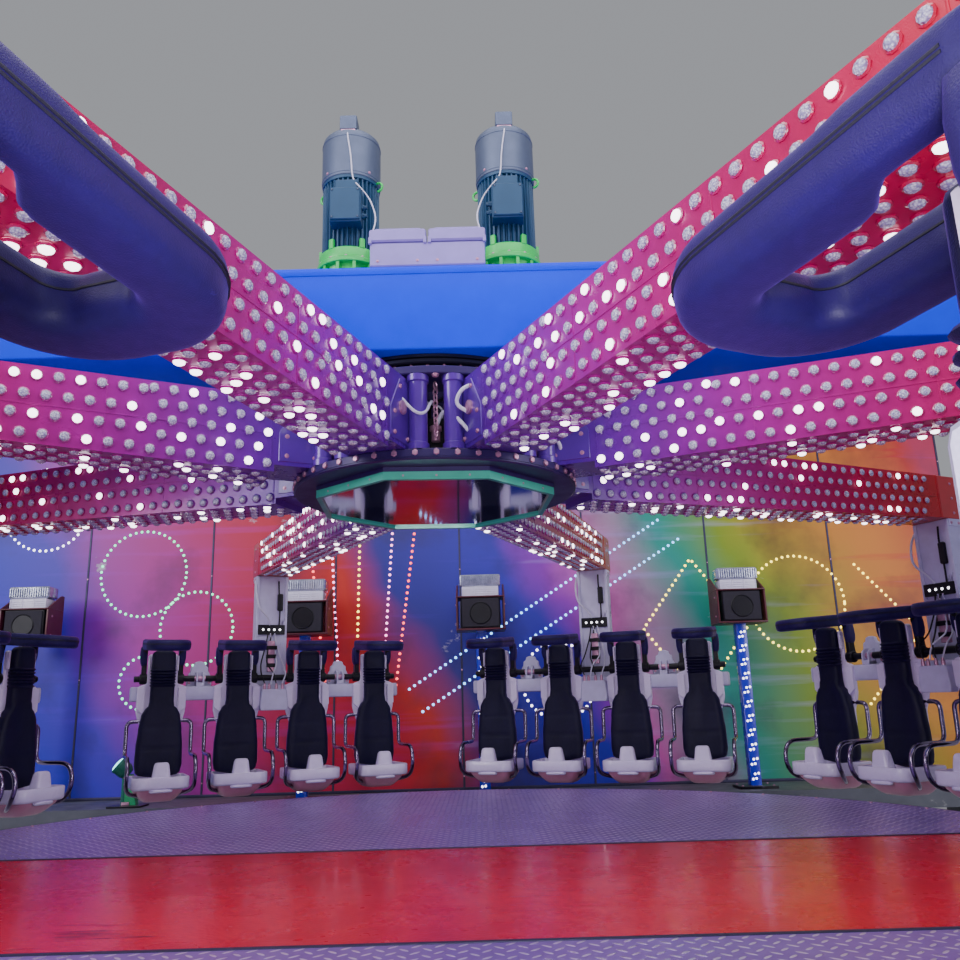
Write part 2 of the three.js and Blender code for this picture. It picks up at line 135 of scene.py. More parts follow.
def show(name, shape, body, place=None, replaces=(), sharp=32.0):
    """Sets a form, or a mesh that several pieces share, in place on its body."""
    mesh = shape.mesh(name, sharp) if isinstance(shape, Form) else shape
    piece = bpy.data.objects.new(name, mesh)
    if place is not None:
        piece.matrix_world = place
    bpy.context.scene.collection.objects.link(piece)
    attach(piece, body)
    if replaces:
        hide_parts(*replaces)
    return piece


def at(x=0.0, y=0.0, z=0.0, turn=0.0, axis="Z"):
    return Matrix.Translation((x, y, z)) @ Matrix.Rotation(math.radians(turn), 4, axis)


def skin(rings, capped=True):
    """Walls between rings that have the same number of points, with a face on each end."""
    count = len(rings[0])
    points = [p for ring in rings for p in ring]
    faces = []
    for level in range(len(rings) - 1):
        for j in range(count):
            a = level * count + j
            b = level * count + (j + 1) % count
            faces.append((a, b, b + count, a + count))
    if capped:
        faces.append(tuple(reversed(range(count))))
        faces.append(tuple(range(len(points) - count, len(points))))
    return points, faces


def circle(radius, sides, turn=0.0):
    step = 2 * math.pi / sides
    return [(radius * math.cos(turn + step * i), radius * math.sin(turn + step * i)) for i in range(sides)]


def turned(profile, sides, gear=None):
    """A profile of (radius, height) points, turned about Z. A gear gives each point's share of the radius."""
    shares = gear or [1.0] * sides
    rings = []
    for radius, z in profile:
        ring = circle(radius, sides)
        rings.append([(x * share, y * share, z) for (x, y), share in zip(ring, shares)])
    return skin(rings)


def eased(points, cut, steps=3, closed=True):
    """Replaces each corner by a curve that begins cut metres before it."""
    points = [Vector(p) for p in points]
    result = []
    for i, here in enumerate(points):
        if not closed and i in (0, len(points) - 1):
            result.append(here)
            continue
        before = points[i - 1] - here
        after = points[(i + 1) % len(points)] - here
        size = cut[i] if isinstance(cut, (list, tuple)) else cut
        a = here + before.normalized() * min(size, 0.49 * before.length)
        b = here + after.normalized() * min(size, 0.49 * after.length)
        for s in range(steps + 1):
            t = s / steps
            result.append(a.lerp(here, t).lerp(here.lerp(b, t), t))
    return result


def inset(outline, by):
    """An anticlockwise outline moved inwards."""
    count = len(outline)
    moved = []
    for i in range(count):
        here = Vector(outline[i][:2])
        before = (here - Vector(outline[i - 1][:2])).normalized()
        after = (Vector(outline[(i + 1) % count][:2]) - here).normalized()
        a = Vector((-before.y, before.x))
        b = Vector((-after.y, after.x))
        mitre = (a + b) / max(1.0 + a.dot(b), 0.3)
        moved.append(here + mitre * by)
    return moved


def slab(outline, low, high, edge=0.0, axis="z"):
    """An anticlockwise outline drawn along an axis, with both rims cut back by edge. The outline's
    points are (x, y) for z, (y, z) for x and (x, z) for y."""
    levels = [(low, 0.0), (high, 0.0)]
    if edge:
        levels = [(low, edge), (low + edge, 0.0), (high - edge, 0.0), (high, edge)]
    order = {
        "z": lambda a, b, h: (a, b, h),
        "x": lambda a, b, h: (h, a, b),
        "y": lambda a, b, h: (a, h, b),
    }[axis]
    rings = []
    for height, by in levels:
        ring = inset(outline, by) if by else outline
        rings.append([order(p[0], p[1], height) for p in ring])
    return skin(rings)


def rectangle(a, b, corner=0.0, steps=2):
    points = [(a[0], b[0]), (a[1], b[0]), (a[1], b[1]), (a[0], b[1])]
    return eased(points, corner, steps) if corner else points


def block(x, y, z, edge=0.004, corner=None, axis="z"):
    """A box with cut rims along its axis and rounded corners about it."""
    sides = {"z": (x, y, z), "x": (y, z, x), "y": (x, z, y)}[axis]
    round_by = edge if corner is None else corner
    return slab(rectangle(sides[0], sides[1], round_by), sides[2][0], sides[2][1], edge, axis)


def tube(path, radius, sides=10, flat=1.0):
    """A bar of round section along a path of points."""
    path = [Vector(p) for p in path]
    last = len(path) - 1
    across = None
    rings = []
    for i, here in enumerate(path):
        ahead = (path[min(i + 1, last)] - path[max(i - 1, 0)]).normalized()
        if across is None:
            guide = Vector((0, 0, 1)) if abs(ahead.z) < 0.9 else Vector((1, 0, 0))
            across = ahead.cross(guide).normalized()
        across = (across - ahead * across.dot(ahead)).normalized()
        other = ahead.cross(across)
        rings.append([here + across * (a * radius) + other * (b * radius * flat) for a, b in circle(1.0, sides)])
    return skin(rings)


def bent(points, cut, radius, sides=10, steps=4):
    return tube(eased(points, cut, steps, closed=False), radius, sides)


def bolt(size=0.012):
    """A hexagon head on its washer, standing on Z = 0."""
    washer = turned([(size * 1.35, 0), (size * 1.35, size * 0.2)], 10)
    head = turned([(size, size * 0.2), (size, size * 0.75), (size * 0.8, size * 0.9)], 6)
    points = washer[0] + head[0]
    shift = len(washer[0])
    return points, washer[1] + [tuple(i + shift for i in face) for face in head[1]]


def bolt_ring(form, finish, radius, count, z, size=0.012, up=True, start=0.0):
    for i in range(count):
        angle = math.radians(start + 360.0 * i / count)
        spot = Matrix.Translation((radius * math.cos(angle), radius * math.sin(angle), z))
        form.put(bolt(size), finish, spot if up else spot @ Matrix.Rotation(math.pi, 4, "X"))


# Finishes.


def linear(red, green, blue):
    """A colour given in 0-255 screen values."""
    def channel(value):
        value = value / 255
        return value / 12.92 if value <= 0.04045 else ((value + 0.055) / 1.055) ** 2.4
    return (channel(red), channel(green), channel(blue), 1.0)


def node(tree, kind, sockets=None, **settings):
    """Adds a shader node. A socket is set to a constant, or joined to another node's output."""
    made = tree.nodes.new("ShaderNode" + kind)
    for key, value in settings.items():
        setattr(made, key, value)
    for key, value in (sockets or {}).items():
        if isinstance(value, bpy.types.NodeSocket):
            tree.links.new(value, made.inputs[key])
        else:
            made.inputs[key].default_value = value
    return made


def maths(tree, operation, a, b=0.0, clamp=False):
    return node(tree, "Math", {0: a, 1: b}, operation=operation, use_clamp=clamp).outputs[0]


def blended(tree, factor, a, b):
    """Colour a where the factor is 0, and b where it is 1."""
    mix = node(tree, "Mix", data_type="RGBA")
    for index, value in ((0, factor), (6, a), (7, b)):
        if isinstance(value, bpy.types.NodeSocket):
            tree.links.new(value, mix.inputs[index])
        else:
            mix.inputs[index].default_value = value
    return mix.outputs[2]


def spread(tree, value, low, high, to_low=0.0, to_high=1.0):
    sockets = {"Value": value, "From Min": low, "From Max": high, "To Min": to_low, "To Max": to_high}
    return node(tree, "MapRange", sockets).outputs[0]


def effect(name, inputs, outputs):
    """A node group for an effect that several finishes use."""
    tree = bpy.data.node_groups.new(name, "ShaderNodeTree")
    for label, kind, value in inputs:
        socket = tree.interface.new_socket(label, in_out="INPUT", socket_type="NodeSocket" + kind)
        if value is not None:
            socket.default_value = value
    for label, kind in outputs:
        tree.interface.new_socket(label, in_out="OUTPUT", socket_type="NodeSocket" + kind)
    entry = tree.nodes.new("NodeGroupInput")
    leave = tree.nodes.new("NodeGroupOutput")
    return tree, entry.outputs, leave.inputs


def uneven_tone():
    """Broad cloudy change of tone, with a finer speckle in it."""
    tree, given, out = effect(
        "uneven_tone",
        [("Place", "Vector", None), ("Scale", "Float", 2.0)],
        [("Mask", "Float")],
    )
    cloud = node(tree, "TexNoise", {"Vector": given["Place"], "Scale": given["Scale"], "Detail": 5.0, "Roughness": 0.6})
    fine = maths(tree, "MULTIPLY", given["Scale"], 9.0)
    speck = node(tree, "TexNoise", {"Vector": given["Place"], "Scale": fine, "Detail": 2.0})
    both = maths(tree, "MULTIPLY_ADD", speck.outputs[0], 0.3)
    both.node.inputs[2].default_value = 0.0
    total = maths(tree, "ADD", both, maths(tree, "MULTIPLY", cloud.outputs[0], 0.7))
    tree.links.new(spread(tree, total, 0.33, 0.67), out["Mask"])
    return tree


def rubbed_marks():
    """Thin scratches and rubbed patches, more where Coverage is higher."""
    tree, given, out = effect(
        "rubbed_marks",
        [("Place", "Vector", None), ("Scale", "Float", 6.0), ("Coverage", "Float", 0.3)],
        [("Mask", "Float")],
    )
    stretch = node(tree, "Mapping", {"Vector": given["Place"], "Rotation": (0.4, 0.2, 0.7), "Scale": (1.0, 7.0, 1.6)})
    line = node(tree, "TexNoise", {"Vector": stretch.outputs[0], "Scale": given["Scale"], "Detail": 6.0, "Roughness": 0.7})
    patch = node(tree, "TexNoise", {"Vector": given["Place"], "Scale": maths(tree, "MULTIPLY", given["Scale"], 0.4)})
    both = maths(tree, "MULTIPLY", line.outputs[0], patch.outputs[0])
    floor_at = maths(tree, "SUBTRACT", 0.46, maths(tree, "MULTIPLY", given["Coverage"], 0.25))
    over = maths(tree, "SUBTRACT", both, floor_at)
    tree.links.new(maths(tree, "MULTIPLY", over, 14.0, clamp=True), out["Mask"])
    return tree


def settled_dust():
    """Dust that lies on surfaces that face up."""
    tree, given, out = effect(
        "settled_dust",
        [("Place", "Vector", None), ("Scale", "Float", 5.0), ("Amount", "Float", 0.3)],
        [("Mask", "Float")],
    )
    facing = node(tree, "SeparateXYZ", {0: node(tree, "NewGeometry").outputs["Normal"]})
    up = spread(tree, facing.outputs[2], 0.4, 1.0)
    patchy = node(tree, "TexNoise", {"Vector": given["Place"], "Scale": given["Scale"], "Detail": 6.0})
    mask = maths(tree, "MULTIPLY", up, spread(tree, patchy.outputs[0], 0.35, 0.7))
    tree.links.new(maths(tree, "MULTIPLY", mask, given["Amount"]), out["Mask"])
    return tree


def moulded_grain():
    """Fine pebble grain, as on painted steel, moulded plastic or vinyl."""
    tree, given, out = effect(
        "moulded_grain",
        [("Place", "Vector", None), ("Scale", "Float", 300.0)],
        [("Height", "Float")],
    )
    pebble = node(tree, "TexVoronoi", {"Vector": given["Place"], "Scale": given["Scale"]}, feature="SMOOTH_F1")
    wave = node(tree, "TexNoise", {"Vector": given["Place"], "Scale": maths(tree, "MULTIPLY", given["Scale"], 0.06)})
    tree.links.new(maths(tree, "ADD", pebble.outputs["Distance"], wave.outputs[0]), out["Height"])
    return tree


def tread_plate():
    """Raised lozenges that lie crosswise by turns, as on chequer plate."""
    tree, given, out = effect(
        "tread_plate",
        [("Place", "Vector", None), ("Pitch", "Float", 0.03)],
        [("Height", "Float")],
    )
    share = maths(tree, "DIVIDE", 1.0, given["Pitch"])
    flat = node(tree, "VectorMath", {0: given["Place"], "Scale": share}, operation="SCALE")
    turn = node(tree, "Mapping", {"Vector": flat.outputs[0], "Rotation": (0.0, 0.0, math.pi / 4)})
    part = node(tree, "SeparateXYZ", {0: turn.outputs[0]})
    cells = [maths(tree, "FLOOR", part.outputs[i]) for i in (0, 1)]
    parity = maths(tree, "MODULO", maths(tree, "ABSOLUTE", maths(tree, "ADD", *cells)), 2.0)
    local = [maths(tree, "SUBTRACT", maths(tree, "FRACT", part.outputs[i]), 0.5) for i in (0, 1)]
    lozenges = []
    for lengthwise, crosswise in (local, local[::-1]):
        a = maths(tree, "POWER", maths(tree, "ABSOLUTE", maths(tree, "DIVIDE", lengthwise, 0.46)), 2.0)
        b = maths(tree, "POWER", maths(tree, "ABSOLUTE", maths(tree, "DIVIDE", crosswise, 0.15)), 2.0)
        lozenges.append(maths(tree, "SUBTRACT", 1.0, maths(tree, "ADD", a, b), clamp=True))
    picked = node(tree, "Mix", {0: parity, 2: lozenges[0], 3: lozenges[1]}, data_type="FLOAT")
    tree.links.new(spread(tree, picked.outputs[0], 0.0, 0.5), out["Height"])
    return tree


EFFECTS = {
    maker.__name__: maker()
    for maker in (uneven_tone, rubbed_marks, settled_dust, moulded_grain, tread_plate)
}


class Finish:
    """A material that starts from the object's own coordinates."""

    def __init__(self, name):
        self.material = bpy.data.materials.new(name)
        self.material.use_nodes = True
        self.tree = self.material.node_tree
        self.shader = self.tree.nodes["Principled BSDF"]
        self.place = node(self.tree, "TexCoord").outputs["Object"]

    def use(self, name, **values):
        made = node(self.tree, "Group")
        made.node_tree = EFFECTS[name]
        self.tree.links.new(self.place, made.inputs["Place"])
        for key, value in values.items():
            made.inputs[key].default_value = value
        return made.outputs[0]

    def set(self, **values):
        for key, value in values.items():
            socket = self.shader.inputs[key.replace("_", " ")]
            if isinstance(value, bpy.types.NodeSocket):
                self.tree.links.new(value, socket)
            else:
                socket.default_value = value

    def bump(self, height, depth, strength=0.6):
        """Raises the surface by up to depth metres."""
        made = node(self.tree, "Bump", {"Height": height, "Distance": depth, "Strength": strength})
        self.set(Normal=made.outputs[0])


DUST = linear(176, 168, 182)


def coated(name, colour, rough=0.35, metal=0.0, coat=0.0, tone=(1.5, 0.25), worn=None, dust=0.25,
           grain=(260.0, 0.0006), tint=None, shine=0.5):
    """A coated or moulded surface: uneven tone, rubbed marks, dust on top and fine grain."""
    finish = Finish(name)
    tree = finish.tree
    base = tint(finish) if tint else linear(*colour)
    dark = node(tree, "HueSaturation", {"Value": 1.0 - tone[1], "Color": base}).outputs[0]
    cloud = finish.use("uneven_tone", Scale=tone[0])
    shade = blended(tree, cloud, dark, base)
    rough_now = spread(tree, cloud, 0.0, 1.0, rough * 1.25, rough * 0.85)
    if worn:
        marks = finish.use("rubbed_marks", Scale=worn[1], Coverage=worn[2])
        shade = blended(tree, marks, shade, linear(*worn[0]))
        rough_now = maths(tree, "ADD", rough_now, maths(tree, "MULTIPLY", marks, 0.15))
    if dust:
        lying = finish.use("settled_dust", Amount=dust)
        shade = blended(tree, lying, shade, DUST)
        rough_now = maths(tree, "ADD", rough_now, maths(tree, "MULTIPLY", lying, 0.3))
    finish.set(Base_Color=shade, Roughness=rough_now, Metallic=metal, Specular_IOR_Level=shine, Coat_Weight=coat,
               Coat_Roughness=0.08)
    finish.bump(finish.use("moulded_grain", Scale=grain[0]), grain[1])
    return finish


def lit(name, colour, strength):
    """A lamp's glowing face, brighter in soft cloudy patches."""
    finish = Finish(name)
    cloud = finish.use("uneven_tone", Scale=60.0)
    glow = blended(finish.tree, cloud, linear(*colour), linear(*[min(255, c + 60) for c in colour]))
    finish.set(Base_Color=linear(*colour), Emission_Color=glow, Emission_Strength=strength, Roughness=0.3)
    # Thousands of small lamp faces are too many to aim light at one by one.
    finish.material.cycles.emission_sampling = "NONE"
    return finish.material


def radius_ramp(stops, low, high):
    """A colour that changes with the distance from the hub's axis."""
    def tint(finish):
        tree = finish.tree
        part = node(tree, "SeparateXYZ", {0: finish.place})
        flat = node(tree, "CombineXYZ", {0: part.outputs[0], 1: part.outputs[1]})
        reach = node(tree, "VectorMath", {0: flat.outputs[0]}, operation="LENGTH").outputs["Value"]
        ramp = node(tree, "ValToRGB", {0: spread(tree, reach, low, high)})
        fill_ramp(ramp, stops)
        return ramp.outputs[0]
    return tint


def fill_ramp(ramp, stops):
    elements = ramp.color_ramp.elements
    while len(elements) < len(stops):
        elements.new(1.0)
    for element, (position, colour) in zip(elements, stops):
        element.position = position
        element.color = linear(*colour)


ARM_STOPS = [
    (0.0, (84, 20, 156)), (0.1, (124, 16, 168)), (0.28, (172, 10, 156)),
    (0.55, (196, 6, 112)), (0.8, (206, 6, 64)), (1.0, (202, 6, 34)),
]

WALL_STOPS = [
    (0.0, (20, 130, 90)), (0.05, (40, 60, 200)), (0.17, (22, 48, 214)), (0.25, (70, 40, 200)),
    (0.31, (176, 34, 168)), (0.4, (200, 26, 92)), (0.49, (206, 44, 34)), (0.54, (40, 30, 150)),
    (0.63, (60, 50, 190)), (0.68, (214, 130, 190)), (0.76, (60, 150, 140)), (0.84, (150, 160, 50)),
    (0.92, (226, 130, 26)), (1.0, (190, 40, 90)),
]


def wall_print():
    """Printed boards: slanting bands of colour with bright streaks and soft spray clouds."""
    finish = Finish("wall_print")
    tree = finish.tree
    slant = node(tree, "Mapping", {"Vector": finish.place, "Rotation": (0.0, math.radians(24), 0.0)})
    warp = node(tree, "TexNoise", {"Vector": finish.place, "Scale": 0.5, "Detail": 3.0})
    part = node(tree, "SeparateXYZ", {0: slant.outputs[0]})
    along = maths(tree, "ADD", part.outputs[0], maths(tree, "MULTIPLY", warp.outputs[0], 1.6))
    ramp = node(tree, "ValToRGB", {0: spread(tree, along, -5.6, 7.4)})
    fill_ramp(ramp, WALL_STOPS)
    streak_place = node(tree, "Mapping", {
        "Vector": finish.place, "Rotation": (0.0, math.radians(-52), 0.0), "Scale": (0.35, 1.0, 5.5),
    })
    streak = node(tree, "TexNoise", {"Vector": streak_place.outputs[0], "Scale": 1.4, "Detail": 4.0})
    bright = spread(tree, streak.outputs[0], 0.56, 0.8, 0.0, 0.38)
    shade = blended(tree, bright, ramp.outputs[0], linear(200, 186, 250))
    cloud = node(tree, "TexNoise", {"Vector": finish.place, "Scale": 0.9, "Detail": 5.0, "Roughness": 0.55})
    deep = blended(tree, spread(tree, cloud.outputs[0], 0.5, 0.72, 0.0, 0.75), shade, linear(36, 16, 66))
    weather = finish.use("rubbed_marks", Scale=3.0, Coverage=0.1)
    vivid = node(tree, "HueSaturation", {"Saturation": 1.3, "Value": 0.82, "Color": deep}).outputs[0]
    shade = blended(tree, weather, vivid, linear(190, 180, 205))
    finish.set(Base_Color=shade, Roughness=0.5, Coat_Weight=0.1, Coat_Roughness=0.25)
    finish.bump(finish.use("moulded_grain", Scale=90.0), 0.0008)
    return finish.material


def tread(name, colour, crest, rough, metal, pitch, depth, worn):
    """Chequer plate, dull in its hollows and polished by feet on its crests, whose lighter colour is partly foot polish
    and partly a painted highlight.
    """
    finish = coated(name, colour, rough, metal, tone=(1.1, 0.3), worn=worn, dust=0.12)
    tree = finish.tree
    raised = finish.use("tread_plate", Pitch=pitch)
    shade = finish.shader.inputs["Base Color"].links[0].from_socket
    rough_now = finish.shader.inputs["Roughness"].links[0].from_socket
    # Crests painted lighter: partly foot polish, partly a painted highlight.
    polish_and_glint = maths(tree, "MULTIPLY", raised, 0.75)
    finish.set(
        Base_Color=blended(tree, polish_and_glint, shade, linear(*crest)),
        Roughness=maths(tree, "SUBTRACT", rough_now, maths(tree, "MULTIPLY", raised, 0.14)),
    )
    finish.bump(raised, depth, 1.0)
    return finish.material


def mirror_plate():
    """Polished plate, not quite flat."""
    finish = coated("pan_mirror", (214, 220, 232), 0.05, 1.0, tone=(0.8, 0.12), dust=0, grain=(1.4, 0.002))
    return finish.material


def cap_plastic():
    """Clear moulded caps with facets, painted lighter at each facet's middle and darker at its edges as painted glints.
    """
    finish = Finish("lamp_cap")
    tree = finish.tree
    facets = node(tree, "TexVoronoi", {"Vector": finish.place, "Scale": 150.0})
    # Painted glints: lighter at each facet's middle, darker at its edges.
    shade = blended(tree, spread(tree, facets.outputs["Distance"], 0.1, 0.7), linear(238, 232, 252), linear(150, 138, 192))
    finish.set(Base_Color=shade, Roughness=0.12, Coat_Weight=0.6, Coat_Roughness=0.03)
    finish.bump(facets.outputs["Distance"], 0.004, 0.8)
    return finish.material


def speaker_cloth():
    """Black grille cloth over rows of round holes."""
    finish = Finish("speaker_cloth")
    tree = finish.tree
    holes = node(tree, "TexVoronoi", {"Vector": finish.place, "Scale": 75.0, "Randomness": 0.0})
    open_at = spread(tree, holes.outputs["Distance"], 0.25, 0.4)
    # The holes are painted near black: painted shade in the openings.
    shade = blended(tree, open_at, linear(6, 5, 12), linear(34, 26, 50))
    finish.set(Base_Color=shade, Roughness=0.7)
    finish.bump(open_at, 0.002)
    return finish.material


def vinyl(name, colour, sheen):
    """Padded vinyl with a pebble grain, dulled where riders rub it."""
    # The rubbed patches are wear, tinted violet as painted violet light, and the lilac sheen tint is a painted violet
    # sheen.
    finish = coated(name, colour, 0.5, tone=(5.0, 0.35), worn=((72, 46, 150), 9.0, 0.12), dust=0.02,
                    grain=(520.0, 0.0008), shine=0.25)
    finish.set(Coat_Weight=0.05, Coat_Roughness=0.3, Sheen_Weight=sheen, Sheen_Roughness=0.4,
               Sheen_Tint=linear(150, 100, 255))
    return finish.material


M = {
    "frame": coated("frame_paint", (88, 90, 104), 0.5, 0.3, worn=((150, 148, 155), 5.0, 0.3)).material,
    # The deck is grey aluminium plate; its purple colour is painted violet light.
    "deck": tread("deck_plate", (162, 118, 214), (248, 226, 255), 0.4, 0.5, 0.052, 0.004, ((190, 158, 226), 4.0, 0.3)),
    "walkway": coated("walkway_coat", (226, 4, 50), 0.26, tone=(1.2, 0.3), coat=0.16, dust=0.02,
                      worn=((130, 4, 34), 3.0, 0.32), grain=(60.0, 0.002), shine=0.35).material,
    "beam": coated("beam_paint", (0, 44, 250), 0.34, 0.0, coat=0.02, tone=(0.8, 0.15), dust=0.01,
                   worn=((10, 66, 252), 2.5, 0.1), shine=0.1).material,
    "bearing": coated("bearing_steel", (46, 44, 66), 0.35, 0.8, worn=((120, 110, 140), 8.0, 0.3)).material,
    # The bells are coloured bright green all over.
    "motor_bell": coated("drive_paint", (10, 198, 84), 0.34, 0.0, coat=0.2, worn=((90, 220, 150), 9.0, 0.2)).material,
    "motor_body": coated("motor_body_paint", (16, 64, 104), 0.4, 0.2, worn=((70, 130, 150), 9.0, 0.2)).material,
    "motor_cowl": coated("motor_cowl_steel", (88, 98, 128), 0.42, 0.5, worn=((140, 150, 174), 9.0, 0.3), dust=0.1).material,
    "cabinet": coated("cabinet_shell", (150, 132, 214), 0.34, worn=((124, 110, 176), 7.0, 0.2), dust=0.05).material,
    "hub": coated("hub_paint", (88, 34, 160), 0.3, 0.15, coat=0.4, worn=((136, 90, 200), 7.0, 0.25), dust=0.1).material,
    "hub_dark": coated("hub_dark_paint", (46, 24, 92), 0.4, 0.2, worn=((96, 70, 140), 7.0, 0.25), dust=0.1).material,
    "bolt": coated("bolt_steel", (212, 156, 190), 0.36, 0.7, tone=(20.0, 0.3), worn=((120, 96, 120), 30.0, 0.3)).material,
    "rim": coated("pan_rim_paint", (70, 188, 166), 0.3, 0.2, coat=0.3, worn=((150, 215, 205), 9.0, 0.2), dust=0.05).material,
    "mirror": mirror_plate(),
    "arm": coated("arm_panel", (180, 30, 120), 0.28, 0.15, coat=0.2, tone=(2.2, 0.22), dust=0.06,
                  tint=radius_ramp(ARM_STOPS, 0.85, 3.9), worn=((215, 90, 160), 6.0, 0.14), shine=0.3).material,
    "arm_end": coated("arm_end_paint", (205, 20, 44), 0.3, 0.1, coat=0.4, worn=((235, 120, 130), 8.0, 0.2)).material,
    "cap": cap_plastic(),
    "cap_collar": coated("lamp_cap_collar", (180, 30, 120), 0.1, 0.0, coat=0.9, tone=(9.0, 0.3), dust=0,
                         tint=radius_ramp(ARM_STOPS, 0.85, 3.9)).material,
    "cap_lit": lit("lamp_lit", (255, 236, 250), 5.0),
    # The seat shells are white; their lilac tint is painted violet light.
    "shell": coated("seat_shell", (232, 216, 255), 0.28, coat=0.3, tone=(3.0, 0.1), dust=0.05,
                    worn=((180, 170, 210), 7.0, 0.14)).material,
    # The bucket is the same white shell; its salmon pink is painted pink light on its underside.
    "bucket": coated("seat_bucket_pink_light", (232, 150, 188), 0.34, coat=0.3, tone=(3.0, 0.15), dust=0.1,
                     worn=((180, 120, 150), 7.0, 0.2)).material,
    # Both vinyls are black; the indigo in their colours is painted violet light.
    "pad": vinyl("pad_vinyl", (18, 12, 52), 0.22),
    "loop": vinyl("loop_vinyl", (33, 14, 88), 0.2),
    "stitching": coated("stitching_thread", (16, 10, 40), 0.6, tone=(30.0, 0.4), dust=0.0).material,
    # The chrome's dark lilac colour is a painted reflection of dark, violet-lit surroundings.
    "chrome": coated("chrome_bar", (150, 134, 168), 0.12, 1.0, tone=(6.0, 0.4), dust=0,
                     worn=((90, 70, 84), 12.0, 0.35)).material,
    "black": coated("black_steel", (20, 17, 30), 0.35, 0.4, worn=((80, 74, 96), 10.0, 0.3)).material,
    "post": coated("post_paint", (206, 198, 238), 0.35, worn=((130, 120, 160), 6.0, 0.3)).material,
    "lead": coated("lead_sheath", (214, 208, 236), 0.4, worn=((120, 116, 140), 20.0, 0.2)).material,
    "cloth": speaker_cloth(),
    "speaker": coated("speaker_case", (86, 22, 44), 0.4, worn=((140, 70, 80), 9.0, 0.3)).material,
    "diffuser": coated("light_diffuser", (226, 220, 250), 0.3, coat=0.3, tone=(5.0, 0.18)).material,
    "pole": coated("stack_pole_paint", (30, 40, 214), 0.25, coat=0.4, worn=((90, 100, 230), 9.0, 0.2)).material,
    "flood": coated("flood_paint", (14, 104, 92), 0.35, 0.2, worn=((90, 160, 150), 10.0, 0.25)).material,
    "flood_base": coated("flood_base_paint", (16, 150, 96), 0.35, worn=((90, 190, 150), 10.0, 0.25)).material,
    "lens": lit("flood_lens", (120, 240, 235), 2.5),
    "lens_clear": coated("light_box_lens", (196, 200, 228), 0.08, 0.55, coat=1.0, tone=(14.0, 0.55), dust=0).material,
    "wall": wall_print(),
    "wall_trim": coated("wall_trim_alloy", (70, 66, 96), 0.5, 0.7, worn=((110, 106, 130), 9.0, 0.2), dust=0.0).material,
    "dot_white": lit("dot_white", (240, 236, 255), 4.0),
    "dot_pink": lit("dot_pink", (255, 130, 190), 4.0),
    "dot_red": lit("dot_red", (255, 50, 50), 4.0),
    "dot_yellow": lit("dot_yellow", (255, 205, 60), 4.0),
    "dot_green": lit("dot_green", (60, 230, 150), 3.0),
    "dot_blue": lit("dot_blue", (90, 160, 255), 4.0),
}

# Finishes that CAD nodes keep showing.
KEPT = {"ground_frame": "frame", "front_deck": "deck", "rear_deck": "deck", "red_walkway": "walkway",
        "left_leg": "beam", "right_leg": "beam", "hub_pan": "mirror"}
KEPT.update({f"arm_{row}": "arm" for row in ROWS})
KEPT.update({f"wall_panel_{i}": "wall" for i in range(1, 5)})
for name, piece in nodes.items():
    finish = M[KEPT.get(name, "frame")]
    piece.data.materials.clear()
    piece.data.materials.append(finish)

# Beam, bearing, drives and cabinet.


def main_beam():
    form = Form(M["beam"], M["frame"], M["bolt"])
    section = eased([(-0.722, 3.2), (0.722, 3.2), (0.722, 3.645), (-0.722, 3.645)], 0.014, 3)
    form.put(slab(section, -5.35, 5.35, 0.004, "x"))
    for side in (-1, 1):
        lip = sorted((side * 0.712, side * 0.727))
        form.put(block((-5.33, 5.33), lip, (3.6, 3.63), 0.002, axis="x"))
        for x in (-5.05, -3.4, 3.4, 5.05):
            form.put(block((x - 0.09, x + 0.09), sorted((side * 0.6, side * 0.735)), (3.636, 3.66), 0.003))
            form.put(bolt(0.016), 2, at(x, side * 0.66, 3.66))
    show("beam_body", form, "base", replaces=("main_beam",))


def bearing():
    form = Form(M["bearing"], M["bolt"], M["hub_dark"])
    profile = [(0.55, 3.152), (0.662, 3.152), (0.668, 3.158), (0.668, 3.172), (0.655, 3.175),
               (0.655, 3.179), (0.668, 3.182), (0.668, 3.198), (0.6, 3.1995)]
    form.put(turned(profile, 96))
    bolt_ring(form, 1, 0.63, 48, 3.153, 0.007, up=False)
    show("slewing_bearing", form, "base", replaces=("bearing_housing",))


